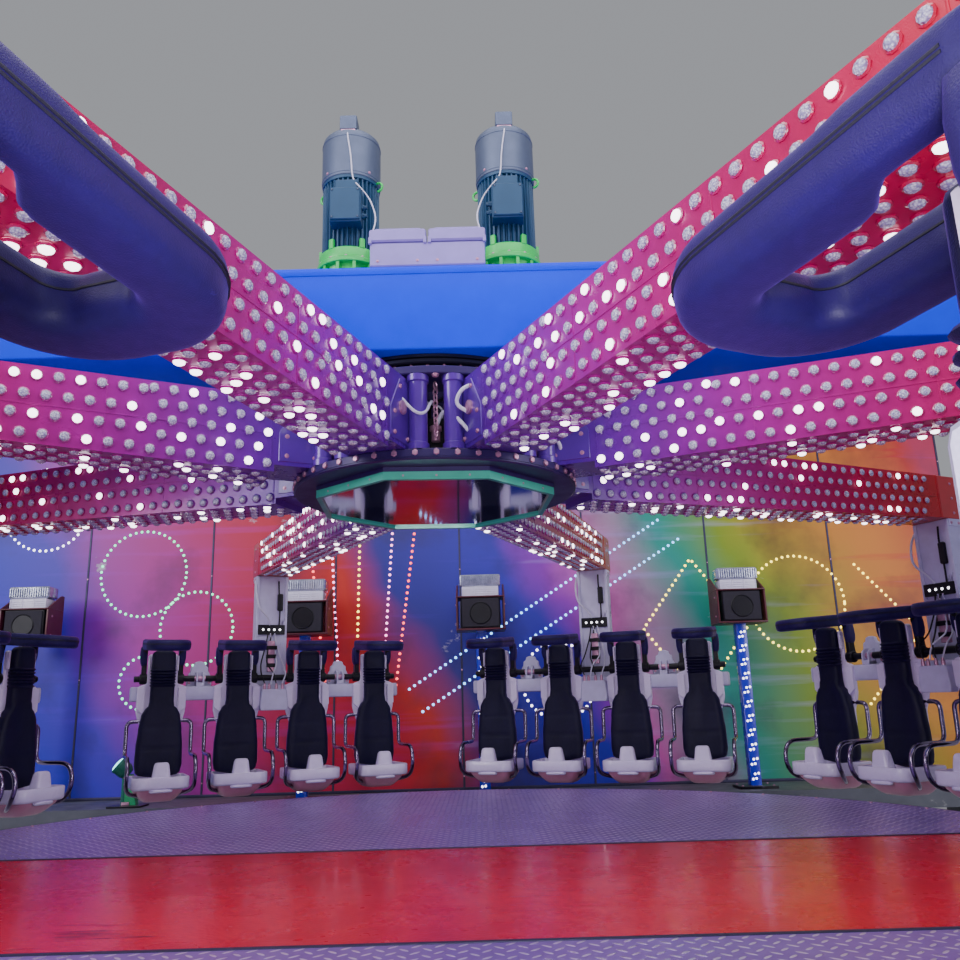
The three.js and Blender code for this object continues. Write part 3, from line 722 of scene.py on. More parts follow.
def drive(name, x):
    """A geared motor on its flanged bell. Its lead runs down towards the cabinet between the two drives."""
    inward = -1 if x > 0 else 1
    form = Form(M["motor_bell"], M["motor_body"], M["motor_cowl"], M["bolt"], M["lead"])
    # The bell: a foot flange, a waist with webs and the upper flange that carries the motor.
    form.put(turned([(0.184, 0), (0.184, 0.03), (0.18, 0.034), (0.15, 0.036), (0.146, 0.1), (0.152, 0.16)], 48))
    for i in range(12):
        web = [(0.13, 0.02), (0.181, 0.03), (0.176, 0.12), (0.174, 0.165), (0.13, 0.165)]
        form.put(slab(web, -0.01, 0.01, 0.003, "y"), 0, at(turn=15 + 30 * i))
    form.put(turned([(0.14, 0.155), (0.177, 0.158), (0.18, 0.162), (0.18, 0.182), (0.176, 0.187), (0.15, 0.188)], 48))
    bolt_ring(form, 3, 0.166, 12, 0.187, 0.009)
    # The finned body between its two end shields.
    form.put(turned([(0.15, 0.186), (0.17, 0.19), (0.172, 0.23), (0.166, 0.246), (0.14, 0.25)], 48), 0)
    for i in range(6):
        form.put(block((0.15, 0.171), (-0.014, 0.014), (0.24, 0.3), 0.004), 0, at(turn=60 * i))
    fins = [1.0 if i % 4 in (0, 1) else 0.9 for i in range(144)]
    form.put(turned([(0.153, 0.245), (0.155, 0.255), (0.155, 0.662), (0.153, 0.67)], 144, fins), 1)
    form.put(turned([(0.14, 0.66), (0.158, 0.666), (0.158, 0.684), (0.15, 0.688)], 48), 1)
    # The fan cowl, its two beads and the grille in its top.
    form.put(turned([(0.159, 0.684), (0.162, 0.688), (0.162, 0.935), (0.156, 0.96), (0.138, 0.98),
                     (0.115, 0.986), (0.112, 0.98), (0.1, 0.98), (0.097, 0.99), (0.08, 0.99), (0.077, 0.982),
                     (0.066, 0.982), (0.063, 0.993), (0.03, 0.995)], 64), 2)
    for z in (0.7, 0.922):
        form.put(turned([(0.16, z), (0.1635, z + 0.002), (0.1635, z + 0.007), (0.16, z + 0.009)], 64), 2)
    for i in range(4):
        form.put(bolt(0.006), 3, at(turn=45 + 90 * i) @ at(0.162, 0, 0.715, 90, "Y"))
    # The speed sensor on the cowl's front shoulder.
    form.put(block((-0.047, 0.047), (-0.148, -0.04), (0.968, 1.062), 0.008), 2)
    form.put(block((-0.04, 0.04), (-0.152, -0.06), (0.942, 0.97), 0.004), 3)
    # Terminal box with its screws, cable glands, two lifting eyes and the lead.
    form.put(block((-0.084, 0.084), (-0.222, -0.12), (0.36, 0.56), 0.006, 0.01, "y"), 1)
    form.put(block((-0.08, 0.08), (-0.234, -0.22), (0.366, 0.554), 0.004, 0.01, "y"), 1)
    form.put(block((-0.062, 0.062), (-0.19, -0.12), (0.56, 0.63), 0.006, 0.01, "y"), 1)
    for sx, z in ((-1, 0.38), (1, 0.38), (-1, 0.54), (1, 0.54)):
        form.put(bolt(0.005), 2, at(sx * 0.068, -0.233, z, 90, "X"))
    for z in (0.41, 0.46):
        form.put(turned([(0.016, 0), (0.016, 0.012), (0.011, 0.014), (0.011, 0.03)], 12), 1,
                 at(inward * 0.083, -0.18, z, 90 * inward, "Y"))
    for turn in (-20, 160):
        eye = [(0.165 + 0.026 * math.cos(a), 0, 0.66 + 0.026 * math.sin(a)) for a in [i * math.pi / 8 - 1.6 for i in range(14)]]
        form.put(tube(eye, 0.007, 8), 0, at(turn=turn))
    lead = [(0.0, -0.15, 0.95), (0.0, -0.17, 0.92), (inward * 0.02, -0.172, 0.8), (inward * 0.03, -0.172, 0.64),
            (inward * 0.07, -0.2, 0.58), (inward * 0.13, -0.2, 0.5), (inward * 0.17, -0.24, 0.36),
            (inward * 0.15, -0.25, 0.27)]
    form.put(bent(lead, 0.06, 0.004, 6, 4), 4)
    show(name + "_motor", form, "base", at(x, -0.33, BEAM_TOP), replaces=(name,))


def cabinet():
    form = Form(M["cabinet"], M["black"], M["bolt"])
    low = BEAM_TOP
    form.put(block((-0.29, 0.29), (-0.7, -0.535), (low + 0.012, low + 0.142), 0.006, 0.012))
    for side in (-1, 1):
        inner, outer = side * 0.006, side * 0.294
        ends = (min(inner, outer), max(inner, outer))
        form.put(block(ends, (-0.71, -0.527), (low + 0.145, low + 0.214), 0.008, 0.014))
        form.put(block((ends[0] + 0.02, ends[1] - 0.02), (-0.695, -0.545), (low + 0.212, low + 0.226), 0.006, 0.02))
        for x in (side * 0.012, side * 0.288):
            form.put(block((x - 0.008, x + 0.008), (-0.712, -0.695), (low + 0.132, low + 0.168), 0.003), 0)
        for x in (side * 0.05, side * 0.25):
            form.put(block((x - 0.022, x + 0.022), (-0.69, -0.55), (low, low + 0.014), 0.003), 1)
            form.put(bolt(0.006), 2, at(x, -0.7, low + 0.04, 90, "X"))
    show("cabinet_body", form, "base", at(x=0.01), replaces=("control_cabinet",))


def leg_fittings():
    """Flange plates and gussets where the legs meet the beam and the ground frame."""
    for side, label in ((-1, "left"), (1, "right")):
        form = Form(M["beam"], M["bolt"])
        x0, x1 = sorted((side * 4.74, side * 5.345))
        for z, half in ((STAGE_TOP + 0.001, 0.67), (3.168, 0.5)):
            for y in (-1, 1):
                reach = sorted((y * (half - 0.1), y * half))
                form.put(block((x0, x1), reach, (z, z + 0.03), 0.004))
                for i in range(4):
                    x = x0 + 0.09 + i * (x1 - x0 - 0.18) / 3
                    up = z < 1
                    spot = at(x, y * (half - 0.025), z + (0.03 if up else 0.0), 0 if up else 180, "X")
                    form.put(bolt(0.014), 1, spot)
        for y in (-1, 1):
            for x in (x0 + 0.12, x1 - 0.12):
                gusset = [(y * 0.6, 0.63), (y * 0.664, 0.63), (y * 0.61, 0.95)]
                gusset = gusset if y > 0 else gusset[::-1]
                form.put(slab(gusset, x - 0.01, x + 0.01, 0.002, "x"), 0)
        show(f"{label}_leg_fittings", form, "base")


main_beam()
bearing()
drive("left_drive", -0.43)
drive("right_drive", 0.43)
cabinet()
leg_fittings()

# Hub.


def hub():
    form = Form(M["hub"], M["hub_dark"], M["bolt"], M["black"], M["lead"])
    form.put(turned([(0.5, 2.6352), (0.755, 2.6352), (0.76, 2.64), (0.76, 2.684), (0.755, 2.6895), (0.5, 2.6895)], 96), 1)
    form.put(turned([(0.5, 2.68), (0.5, 3.065)], 64), 1)
    form.put(turned([(0.5, 3.06), (0.755, 3.06), (0.76, 3.065), (0.76, 3.095), (0.755, 3.1), (0.64, 3.1),
                     (0.64, 3.13), (0.632, 3.1455), (0.5, 3.149)], 96), 1)
    bolt_ring(form, 2, 0.738, 48, 3.061, 0.015, up=False)
    bolt_ring(form, 2, 0.7, 48, 3.1, 0.01)
    for i in range(48):
        form.put(bolt(0.015), 2, at(turn=7.5 * i) @ at(0.756, 0, 2.668, 90, "Y"))
    for z in (2.6395, 2.648):
        form.put(turned([(0.758, z), (0.764, z + 0.001), (0.764, z + 0.003), (0.758, z + 0.004)], 96), 1)
    for arm in range(8):
        spoke = at(turn=22.5 + 45 * arm)
        for side in (-1, 1):
            pin = spoke @ at(0.684, side * 0.192)
            form.put(turned([(0.054, 2.689), (0.054, 2.72), (0.046, 2.726), (0.046, 3.024), (0.054, 3.03), (0.054, 3.061)], 24), 0, pin)
        # Root block between the tubes, its cover and the two pins through it.
        form.put(block((0.5, 0.6), (-0.15, 0.15), (2.7, 3.05), 0.008), 0, spoke)
        for side in (-1, 1):
            for z in (2.78, 2.96):
                form.put(turned([(0.03, 0), (0.03, 0.012), (0.018, 0.018)], 16), 2,
                         spoke @ at(0.62, side * 0.149, z, -90 * side, "X"))
        box = spoke @ at(turn=22.5)
        form.put(block((0.495, 0.56), (-0.07, 0.07), (2.74, 2.9), 0.006), 3, box)
        form.put(turned([(0.022, 0), (0.022, 0.05), (0.03, 0.054), (0.03, 0.075), (0.018, 0.08)], 16), 2, box @ at(0.62, 0, 2.76))
        form.put(bent([(0.53, -0.03, 2.9), (0.53, -0.03, 2.98), (0.56, 0.05, 3.0), (0.52, 0.08, 3.062)], 0.04, 0.009, 8), 3, box)
        form.put(bent([(0.53, 0.03, 2.9), (0.57, 0.04, 2.95), (0.55, -0.06, 2.99), (0.51, -0.09, 3.062)], 0.04, 0.006, 8), 4, box)
        # Hoses that cross from the arms' roots to the fitting between the tubes.
        form.put(bent([(0.62, 0.0, 2.83), (0.66, 0.03, 2.9), (0.72, 0.07, 2.88), (0.76, 0.13, 2.8), (0.74, 0.165, 2.76)],
                      0.05, 0.01, 8), 4, box)
        form.put(bent([(0.77, -0.16, 2.93), (0.765, -0.1, 2.86), (0.74, -0.05, 2.86), (0.68, -0.02, 2.95), (0.6, -0.01, 2.96)],
                      0.05, 0.008, 8), 4, box)
        form.put(bent([(0.77, 0.18, 3.0), (0.78, 0.12, 2.97), (0.765, 0.09, 2.9), (0.77, 0.15, 2.86)], 0.05, 0.01, 8), 4, box)
        # Links of a short chain that hangs in the gap.
        for link in range(9):
            z = 3.03 - 0.03 * link
            turn = 0.9 if link % 2 else -0.7
            ring = [(0.66 + 0.012 * math.cos(a) * math.cos(turn), 0.012 * math.cos(a) * math.sin(turn), z + 0.02 * math.sin(a))
                    for a in [2 * math.pi * i / 10 for i in range(11)]]
            form.put(tube(ring, 0.0045, 5), 2, box)
    show("hub_body", form, "star", at(turn=STAR_TURN), replaces=("hub_core",))


def pan_rim():
    form = Form(M["rim"], M["bolt"], M["hub_dark"])
    flats = 0.6135
    outer = [(p[0], p[1]) for p in circle(flats / math.cos(math.pi / 8) + 0.003, 8, math.pi / 8)]
    inner = [(p[0], p[1]) for p in circle(flats / math.cos(math.pi / 8) - 0.024, 8, math.pi / 8)]
    rings = []
    for ring, z in ((inner, 2.5745), (outer, 2.5745), (outer, 2.614), (inner, 2.614)):
        rings.append([(x, y, z) for x, y in ring])
    form.put(skin(rings + rings[:1], capped=False))
    # A dark band closes the gap above the rim: painted shade where the polished pan would show its bright side.
    form.put(skin([[(x * 1.002, y * 1.002, z) for x, y in outer] for z in (2.613, 2.6352)], capped=False), 2)
    for i in range(8):
        for y in (-0.16, 0.0, 0.16):
            form.put(bolt(0.004), 1, at(turn=45 * i) @ at(flats + 0.003, y, 2.594, 90, "Y"))
    show("pan_rim", form, "star", at(turn=STAR_TURN))


hub()
pan_rim()

# Arms.


def arm_edge(r, top):
    """The height of an arm's top or underside at a distance from the axis."""
    if top:
        return 3.043 + (3.065 - 3.043) * (r - 0.52) / (ARM_END_R - 0.52)
    if r >= ARM_POST_R:
        return 2.749
    return 2.656 + (2.749 - 2.656) * (r - ARM_PANEL_R) / (ARM_POST_R - ARM_PANEL_R)


def lamp_cap(form, place, collar, lens):
    """A clear cap: a clear collar with a raised rim round a faceted lens."""
    collar_rings = [circle(r, 10) for r in (0.0275, 0.0275, 0.0215)]
    rings = [[(x, y, z) for x, y in ring] for ring, z in zip(collar_rings, (0.0, 0.0045, 0.0075))]
    form.put(skin(rings, capped=False), collar, place)
    rings = [[(x, y, z) for x, y in circle(r, 10, 0.3)] for r, z in ((0.0215, 0.0068), (0.0195, 0.0145), (0.012, 0.019))]
    points, faces = skin(rings, capped=False)
    points.append((0.0, 0.0, 0.0205))
    last = len(points) - 1
    faces.extend((20 + j, 20 + (j + 1) % 10, last) for j in range(10))
    form.put((points, faces), lens, place)


def lamp_places():
    """Where the caps stand on an arm: on its two sides and its underside."""
    pitch = 0.09
    places = []
    for column in range(64):
        r = 0.955 + column * pitch / 2
        if r > 3.88:
            break
        low, high = arm_edge(r, False), arm_edge(r, True)
        rows = 5 if r < 1.5 else 4
        for row in range(rows):
            if (row + column) % 2:
                continue
            z = low + (high - low) * (row + 0.5) / rows
            for side in (-1, 1):
                places.append(at(r, side * ARM_HALF, z, -90 * side, "X"))
        for row in range(4):
            if (row + column) % 2:
                continue
            places.append(at(r, -0.108 + 0.072 * row, low, 180, "X"))
    return places


def arm_trim():
    """Seam lips along both sides, the plain end cap, its lug and the row of rivets at the root."""
    form = Form(M["arm"], M["arm_end"], M["bolt"], M["black"], M["hub"])
    for side in (-1, 1):
        line = []
        for r in (0.93, 3.91):
            line.append((r, arm_edge(r, False) + 0.5 * (arm_edge(r, True) - arm_edge(r, False))))
        outline = [(line[0][0], line[0][1] - 0.004), (line[1][0], line[1][1] - 0.004),
                   (line[1][0], line[1][1] + 0.004), (line[0][0], line[0][1] + 0.004)]
        form.put(slab(outline, *sorted((side * 0.146, side * 0.1505)), 0.001, "y"), 0)
        for r in (0.935, 1.7, 2.5, 3.3, 3.93):
            low, high = arm_edge(r, False) + 0.004, arm_edge(r, True) - 0.004
            form.put(block((r - 0.004, r + 0.004), sorted((side * 0.146, side * 0.1495)), (low, high), 0.001), 0)
        for z in (2.79, 2.9, 3.01):
            form.put(bolt(0.008), 2, at(4.07, side * 0.1495, z, -90 * side, "X"))
        # The bracket plate on the root, with its slanting edge and its pin.
        plate = [(0.6, 2.71), (0.9, 2.71), (0.9, 2.86), (0.8, 3.02), (0.6, 3.02)]
        form.put(slab(plate, *sorted((side * 0.14, side * 0.152)), 0.003, "y"), 4)
        form.put(turned([(0.034, 0), (0.034, 0.01), (0.02, 0.016)], 20), 2, at(0.78, side * 0.152, 2.88, -90 * side, "X"))
        for r, z in ((0.86, 2.74), (0.86, 2.84), (0.8, 2.98), (0.72, 2.74)):
            form.put(bolt(0.009), 2, at(r, side * 0.152, z, -90 * side, "X"))
    cap = [(3.938, 2.7475), (4.182, 2.7475), (4.182, 3.0665), (3.938, 3.0655)]
    form.put(slab(cap, -0.1495, 0.1495, 0.004, "y"), 1)
    lug = eased([(4.09, 3.06), (4.17, 3.06), (4.17, 3.12), (4.09, 3.12)], 0.035, 4)
    form.put(slab(lug, -0.008, 0.008, 0.002, "y"), 1)
    form.put(turned([(0.016, -0.0095), (0.016, 0.0095)], 12), 3, at(4.13, 0, 3.09, 90, "X"))
    return form


def arms():
    places = lamp_places()
    draw = random.Random(41)
    trim = arm_trim().mesh("arm_trim")
    for row in ROWS:
        spoke = arm_place(row)
        plain, bright = Form(M["cap_collar"], M["cap"]), Form(M["cap_collar"], M["cap_lit"])
        for place in places:
            turn = place @ at(turn=draw.uniform(0, 36))
            lamp_cap(bright if draw.random() < 0.2 else plain, turn, 0, 1)
        show(f"arm_caps_{row}", plain, "star", spoke, sharp=20)
        show(f"arm_lights_{row}", bright, "star", spoke, sharp=20)
        show(f"arm_trim_{row}", trim, "star", spoke)


arms()

# Seat rows. In a row's own frame X points away from the hub and Y runs along the row.


def smooth_step(value):
    value = min(max(value, 0.0), 1.0)
    return value * value * (3 - 2 * value)


PAD_WIDTHS = [(1.0, 0.16), (1.04, 0.178), (1.1, 0.189), (1.24, 0.186), (1.38, 0.174), (1.5, 0.157), (1.545, 0.136),
              (1.58, 0.103), (1.62, 0.097), (1.93, 0.097), (2.01, 0.095), (2.05, 0.08)]


def along(table, value):
    for (a, left), (b, right) in zip(table, table[1:]):
        if value <= b:
            return left + (right - left) * smooth_step((value - a) / (b - a))
    return table[-1][1]


def seat_pad():
    """A moulded back pad: rolled side edges, two cross seams and a ribbed neck."""
    form = Form(M["pad"])
    levels = [1.0 + 0.73 * i / 38 for i in range(38)]
    levels += [1.73 + 0.16 * i / 36 for i in range(36)]
    levels += [1.89 + 0.16 * i / 12 for i in range(13)]
    rings = []
    for z in levels:
        half = along(PAD_WIDTHS, z)
        end = min((z - 1.0) / 0.035, (2.05 - z) / 0.035, 1.0)
        swell = 0.25 + 0.75 * math.sqrt(max(end * (2 - end), 0.0))
        front = 3.69
        depth = 0.0
        if 1.735 < z < 1.885:
            rib = math.cos(2 * math.pi * (z - 1.735) / 0.025)
            half += 0.003 - 0.005 * rib
            depth = 0.008 - 0.008 * rib
        for seam in (1.235, 1.41):
            depth -= 0.006 * math.exp(-(((z - seam) / 0.007) ** 2))
        ring = []
        for i in range(26):
            angle = 2 * math.pi * i / 26
            c, s = math.cos(angle), math.sin(angle)
            y = half * swell * math.copysign(abs(s) ** 0.55, s)
            share = abs(y) / max(half, 0.01)
            bolster = 0.016 * smooth_step((share - 0.45) / 0.3) if z < 1.62 else 0.004 * share
            if c < 0:
                x = 3.745 + (front + 0.018 - 3.745 - bolster - depth) * abs(c) ** 0.5 * (0.4 + 0.6 * swell)
            else:
                x = 3.745 + 0.043 * abs(c) ** 0.4
            ring.append((x, y, z))
        rings.append(ring)
    form.put(skin(rings))
    return form


def seat_shell(form, offset):
    """White tray with its horn and lip, the bucket under it and the shell behind the pad."""
    spot = at(y=offset)
    tray = eased([(3.83, -0.225), (3.83, 0.225), (3.45, 0.225), (3.4, 0.17), (3.4, -0.17), (3.45, -0.225)],
                 [0.02, 0.02, 0.03, 0.05, 0.05, 0.03], 4)
    tray = [(p[0], p[1]) for p in tray]
    rim_out = [(0.922, 0.014), (0.93, 0.003), (0.94, 0.0), (1.008, 0.0), (1.016, 0.004), (1.019, 0.012),
               (1.016, 0.022), (0.985, 0.034), (0.968, 0.06), (0.962, 0.11)]
    form.put(skin([[(q.x, q.y, z) for q in inset(tray, by)] for z, by in rim_out]), 0, spot)
    horn_rings = []
    for z, back, front, half in ((0.975, 3.52, 3.41, 0.078), (1.02, 3.512, 3.418, 0.071), (1.07, 3.503, 3.42, 0.064),
                                 (1.11, 3.498, 3.424, 0.058), (1.126, 3.49, 3.43, 0.05), (1.131, 3.48, 3.44, 0.038)):
        ring = eased([(back, -half), (back, half), (front, half), (front, -half)], 0.026, 3)
        horn_rings.append([(p[0], p[1], z) for p in ring])
    form.put(skin(horn_rings), 0, spot)
    crescent = eased([(3.43, -0.1), (3.4, -0.07), (3.394, 0.0), (3.4, 0.07), (3.43, 0.1), (3.5, 0.0)][::-1], 0.03, 3)
    form.put(slab([(p[0], p[1]) for p in crescent], 0.9, 0.925, 0.008), 0, spot)
    # The bucket below takes the finish with the painted pink light.
    bucket_rings = []
    for z, back, front, half in ((0.925, 3.808, 3.432, 0.2), (0.9, 3.806, 3.45, 0.194), (0.86, 3.8, 3.49, 0.165),
                                 (0.835, 3.79, 3.52, 0.138), (0.822, 3.775, 3.545, 0.118)):
        ring = eased([(back, -half), (back, half), (front, half * 0.9), (front, -half * 0.9)], 0.06, 4)
        bucket_rings.append([(p[0], p[1], z) for p in ring])
    form.put(skin(bucket_rings), 1, spot)
    shell = [(0.10, 1.02), (0.15, 1.2), (0.155, 1.4), (0.185, 1.47), (0.2, 1.53), (0.2, 1.735), (0.172, 1.75),
             (0.124, 1.765), (0.124, 1.995), (0.112, 2.012)]
    outline = [(y, z) for y, z in shell] + [(-y, z) for y, z in reversed(shell)]
    outline = [(p[0], p[1]) for p in eased(outline, 0.012, 2)]
    form.put(slab(outline, 3.782, 3.806, 0.004, "x"), 0, spot)
    for side in (-1, 1):
        wing = [(side * 0.135, 1.5), (side * 0.2, 1.56), (side * 0.2, 1.73), (side * 0.135, 1.73)]
        wing = wing if side > 0 else wing[::-1]
        form.put(slab(wing, 3.76, 3.79, 0.004, "x"), 0, spot)
        strip = sorted((side * 0.112, side * 0.126))
        form.put(block((3.75, 3.79), strip, (1.87, 2.0), 0.004), 0, spot)


def side_bars(form, offset):
    for side in (-1, 1):
        y = side * 0.262
        path = [(3.78, side * 0.11, 1.452), (3.8, side * 0.175, 1.456), (3.8, y, 1.45), (3.797, y, 1.175), (3.465, y, 1.172),
                (3.415, y, 1.04), (3.475, y, 0.905), (3.6, side * 0.16, 0.872), (3.64, side * 0.1, 0.87)]
        cuts = [0, 0.03, 0.05, 0.07, 0.09, 0.09, 0.08, 0.05, 0]
        form.put(tube(eased(path, cuts, 4, closed=False), 0.0165, 12), 0, at(y=offset))


def row_frame(form):
    """The hanging post, the cross bar, the bearing brackets and the valve box in the middle."""
    form.put(block((3.925, 4.055), (-0.145, 0.145), (1.62, 2.7485), 0.006, 0.012), 0)
    for side in (-1, 1):
        form.put(block((3.915, 3.93), sorted((side * 0.118, side * 0.145)), (1.76, 2.745), 0.003), 0)
        form.put(block((3.93, 4.05), sorted((side * 0.142, side * 0.152)), (2.69, 2.745), 0.003), 0)
        for x in (3.95, 4.03):
            form.put(bolt(0.009), 3, at(x, side * 0.151, 2.715, -90 * side, "X"))
    form.put(block((3.785, 3.93), (-1.2, 1.2), (1.62, 1.74), 0.008, 0.02, "y"), 0)
    # The black lamp plate on the post, with its four lights.
    form.put(block((3.906, 3.926), (-0.125, 0.125), (2.2, 2.29), 0.003), 1)
    for y in (-0.078, -0.026, 0.026, 0.078):
        form.put(turned([(0.011, 0), (0.009, 0.004), (0.004, 0.006)], 10), 2, at(3.907, y, 2.245, -90, "Y"))
    # Valve block, box and clamps.
    box = eased([(-0.118, 1.515), (0.118, 1.515), (0.124, 1.56), (0.108, 1.7), (-0.108, 1.7), (-0.124, 1.56)], 0.012, 2)
    form.put(slab([(p[0], p[1]) for p in box], 3.705, 3.79, 0.006, "x"), 0)
    for y in (-0.075, -0.02, 0.045, 0.085):
        form.put(turned([(0.014, 0), (0.014, 0.03), (0.01, 0.036), (0.01, 0.05)], 12), 3, at(3.73, y, 1.7))
    for z, half in ((2.06, 0.05), (1.98, 0.042), (1.9, 0.036)):
        form.put(block((3.87, 3.926), (-half, half), (z, z + 0.035), 0.004), 1)
    form.put(block((3.88, 3.926), (-0.03, 0.03), (1.86, 2.14), 0.004), 3)
    for y, bend in ((-0.07, -0.1), (-0.02, 0.05), (0.03, -0.05), (0.08, 0.1)):
        lead = [(3.735, y, 1.74), (3.74, y + bend * 0.4, 1.84), (3.86, bend, 1.93), (3.9, 0.5 * bend, 2.1), (3.9, 0.4 * y, 2.21)]
        form.put(bent(lead, 0.05, 0.006, 8), 1 if bend > 0 else 4)
    hook = [(3.9, 0.02, 2.29), (3.86, 0.05, 2.36), (3.84, 0.14, 2.44), (3.88, 0.16, 2.6), (3.95, 0.152, 2.7)]
    form.put(bent(hook, 0.08, 0.009, 8, 5), 4)
    form.put(bent([(3.918, -0.06, 2.7), (3.905, -0.06, 2.6), (3.905, -0.075, 2.4), (3.91, -0.07, 2.29)], 0.06, 0.007, 8), 1)
    form.put(block((3.895, 3.926), (-0.1, -0.05), (2.42, 2.58), 0.008), 1)
    for y in (-0.635, 0.635):
        bracket(form, y)


def bracket(form, y):
    """A white stepped bell over each shaft bearing, between two seats."""
    spot = at(y=y)
    profile = [(0.105, 1.735), (0.112, 1.79), (0.09, 1.845), (0.076, 1.865), (0.074, 1.905), (0.05, 1.915), (0.044, 1.945), (0.014, 1.955)]
    outline = [(a, b) for a, b in profile] + [(-a, b) for a, b in reversed(profile)]
    outline = [(p[0], p[1]) for p in eased(outline, 0.012, 3)]
    form.put(slab(outline, 3.868, 3.9, 0.006, "x"), 0, spot)
    form.put(block((3.788, 3.872), (-0.034, 0.034), (1.735, 1.77), 0.005), 0, spot)
    for side in (-1, 1):
        cheek = eased([(3.79, 1.735), (3.885, 1.735), (3.885, 1.86), (3.83, 1.864), (3.79, 1.83)], 0.014, 3)
        form.put(slab([(p[0], p[1]) for p in cheek], *sorted((side * 0.02, side * 0.034)), 0.002, "y"), 0, spot)
        form.put(bolt(0.009), 3, spot @ at(3.868, side * 0.085, 1.77, -90, "Y"))


def rows():
    pad = seat_pad().mesh("seat_pad", 60)
    frame_form = Form(M["post"], M["black"], M["dot_white"], M["bolt"], M["lead"])
    row_frame(frame_form)
    frame_mesh = frame_form.mesh("row_frame")
    shells = Form(M["shell"], M["bucket"])
    bars = Form(M["chrome"])
    for offset in SEAT_OFFSETS:
        seat_shell(shells, offset)
        side_bars(bars, offset)
    shell_mesh = shells.mesh("seat_shells", 38)
    bar_mesh = bars.mesh("side_bars", 50)
    for row in ROWS:
        spoke = row_place(row)
        show(f"row_frame_{row}", frame_mesh, "star", spoke, replaces=(f"seat_row_{row}",))
        show(f"seat_shells_{row}", shell_mesh, "star", spoke)
        show(f"side_bars_{row}", bar_mesh, "star", spoke)
        for number, offset in enumerate(SEAT_OFFSETS, 1):
            cushion = show(f"seat_pad_{row}_{number}", pad, "star", spoke @ at(y=offset))


# Restraints.


def loop_stations():
    """Stations along a loop's middle line: the place, the way out from the hole and the half width."""
    half_way = []
    for i in range(18):
        x = -0.385 * i / 17
        narrow = 1.0 - smooth_step((-x - 0.15) / 0.07)
        half_way.append(((x, 0.1265 + 0.0265 * narrow), (0.0, 1.0), 0.0515 - 0.0265 * narrow))
    for i in range(1, 11):
        angle = math.radians(90 + 9 * i)
        out = (math.cos(angle), math.sin(angle))
        half_way.append(((-0.385 + 0.095 * out[0], 0.0315 + 0.095 * out[1]), out, 0.0515 + 0.0135 * i / 10))
    half_way.append(((-0.48, 0.0105), (-1.0, 0.0), 0.065))
    other = [((x, -y), (a, -b), half) for (x, y), (a, b), half in reversed(half_way)]
    return half_way + other


def loop_ring(station, angles, ease=1.0):
    """Points round the cushion's boxy section at a station."""
    (x, y), (a, b), half = station
    ring = []
    for angle in angles:
        c, s = math.cos(angle), math.sin(angle)
        reach = math.copysign(abs(c) ** 0.5, c) * half * ease
        height = math.copysign(abs(s) ** 0.62, s) * LOOP_HALF_HEIGHT * (0.35 + 0.65 * ease)
        ring.append((x + a * reach, y + b * reach, height))
    return ring


def padded_loop():
    """A full cushion round the hole, with crowned faces, closed and rounded at its two rear ends."""
    form = Form(M["loop"])
    stations = loop_stations()
    angles = [2 * math.pi * (i + 0.5) / 28 for i in range(28)]
    ends = []
    for t in (0.0, 0.12, 0.35, 0.65):
        ends.append((t, math.sqrt(1 - (1 - t) ** 2)))
    first, last = stations[0], stations[-1]
    rings = []
    for t, ease in ends:
        rings.append(loop_ring(((-0.03 * t, first[0][1]), first[1], first[2]), angles, max(ease, 0.15)))
    rings.extend(loop_ring(station, angles) for station in stations[2:-2])
    for t, ease in reversed(ends):
        rings.append(loop_ring(((-0.03 * t, last[0][1]), last[1], last[2]), angles, max(ease, 0.15)))
    form.put(skin(rings))
    return form


def loop_seams(form, finish, place):
    """A double line of stitching round the cushion's outer side, and one line round the hole."""
    stations = loop_stations()[2:-2]
    for angle in (1.6, 6.5, 176.0):
        line = [loop_ring(station, [math.radians(angle)], 1.0)[0] for station in stations]
        form.put(tube(line, 0.0022, 5), finish, place)


def loop_place(offset):
    tilt = Matrix.Rotation(math.radians(LOOP_TILT), 4, "Y")
    return Matrix.Translation((LOOP_REAR[0], offset, LOOP_REAR[1])) @ tilt


def restraint_frame():
    form = Form(M["black"], M["bolt"], M["stitching"])
    shaft_y = 1.18
    for y0, y1, r in ((-shaft_y, -0.679, 0.026), (-0.591, 0.591, 0.026), (0.679, shaft_y, 0.026)):
        form.put(turned([(r - 0.004, y0), (r, y0 + 0.004), (r, y1 - 0.004), (r - 0.004, y1)], 20), 0,
                 at(PIVOT_R, 0, PIVOT_Z, -90, "X"))
    form.put(turned([(0.024, -shaft_y + 0.02), (0.024, shaft_y - 0.02)], 20), 1, at(PIVOT_R, 0, PIVOT_Z, -90, "X"))
    for offset in SEAT_OFFSETS:
        for side in (-1, 1):
            near, far = sorted((side * 0.13, side * 0.17))
            arm = [(3.876, 1.776), (3.882, 1.806), (3.87, 1.86), (3.852, 2.075), (3.788, 2.075), (3.784, 2.04),
                   (3.8, 1.98), (3.803, 1.79), (3.83, 1.768)]
            arm = [(p[0], p[1]) for p in eased(arm, 0.016, 2)]
            form.put(slab(arm, offset + near, offset + far, 0.006, "y"), 0)
            knuckle = turned([(0.04, near - 0.012), (0.045, near - 0.006), (0.045, far + 0.006), (0.04, far + 0.012)], 24)
            form.put(knuckle, 0, at(PIVOT_R, offset, PIVOT_Z, -90, "X"))
            outer = far + 0.012 if side > 0 else near - 0.012
            form.put(bolt(0.012), 1, at(PIVOT_R, offset + outer, PIVOT_Z, -90 * side, "X"))
        loop_seams(form, 2, loop_place(offset))
    return form


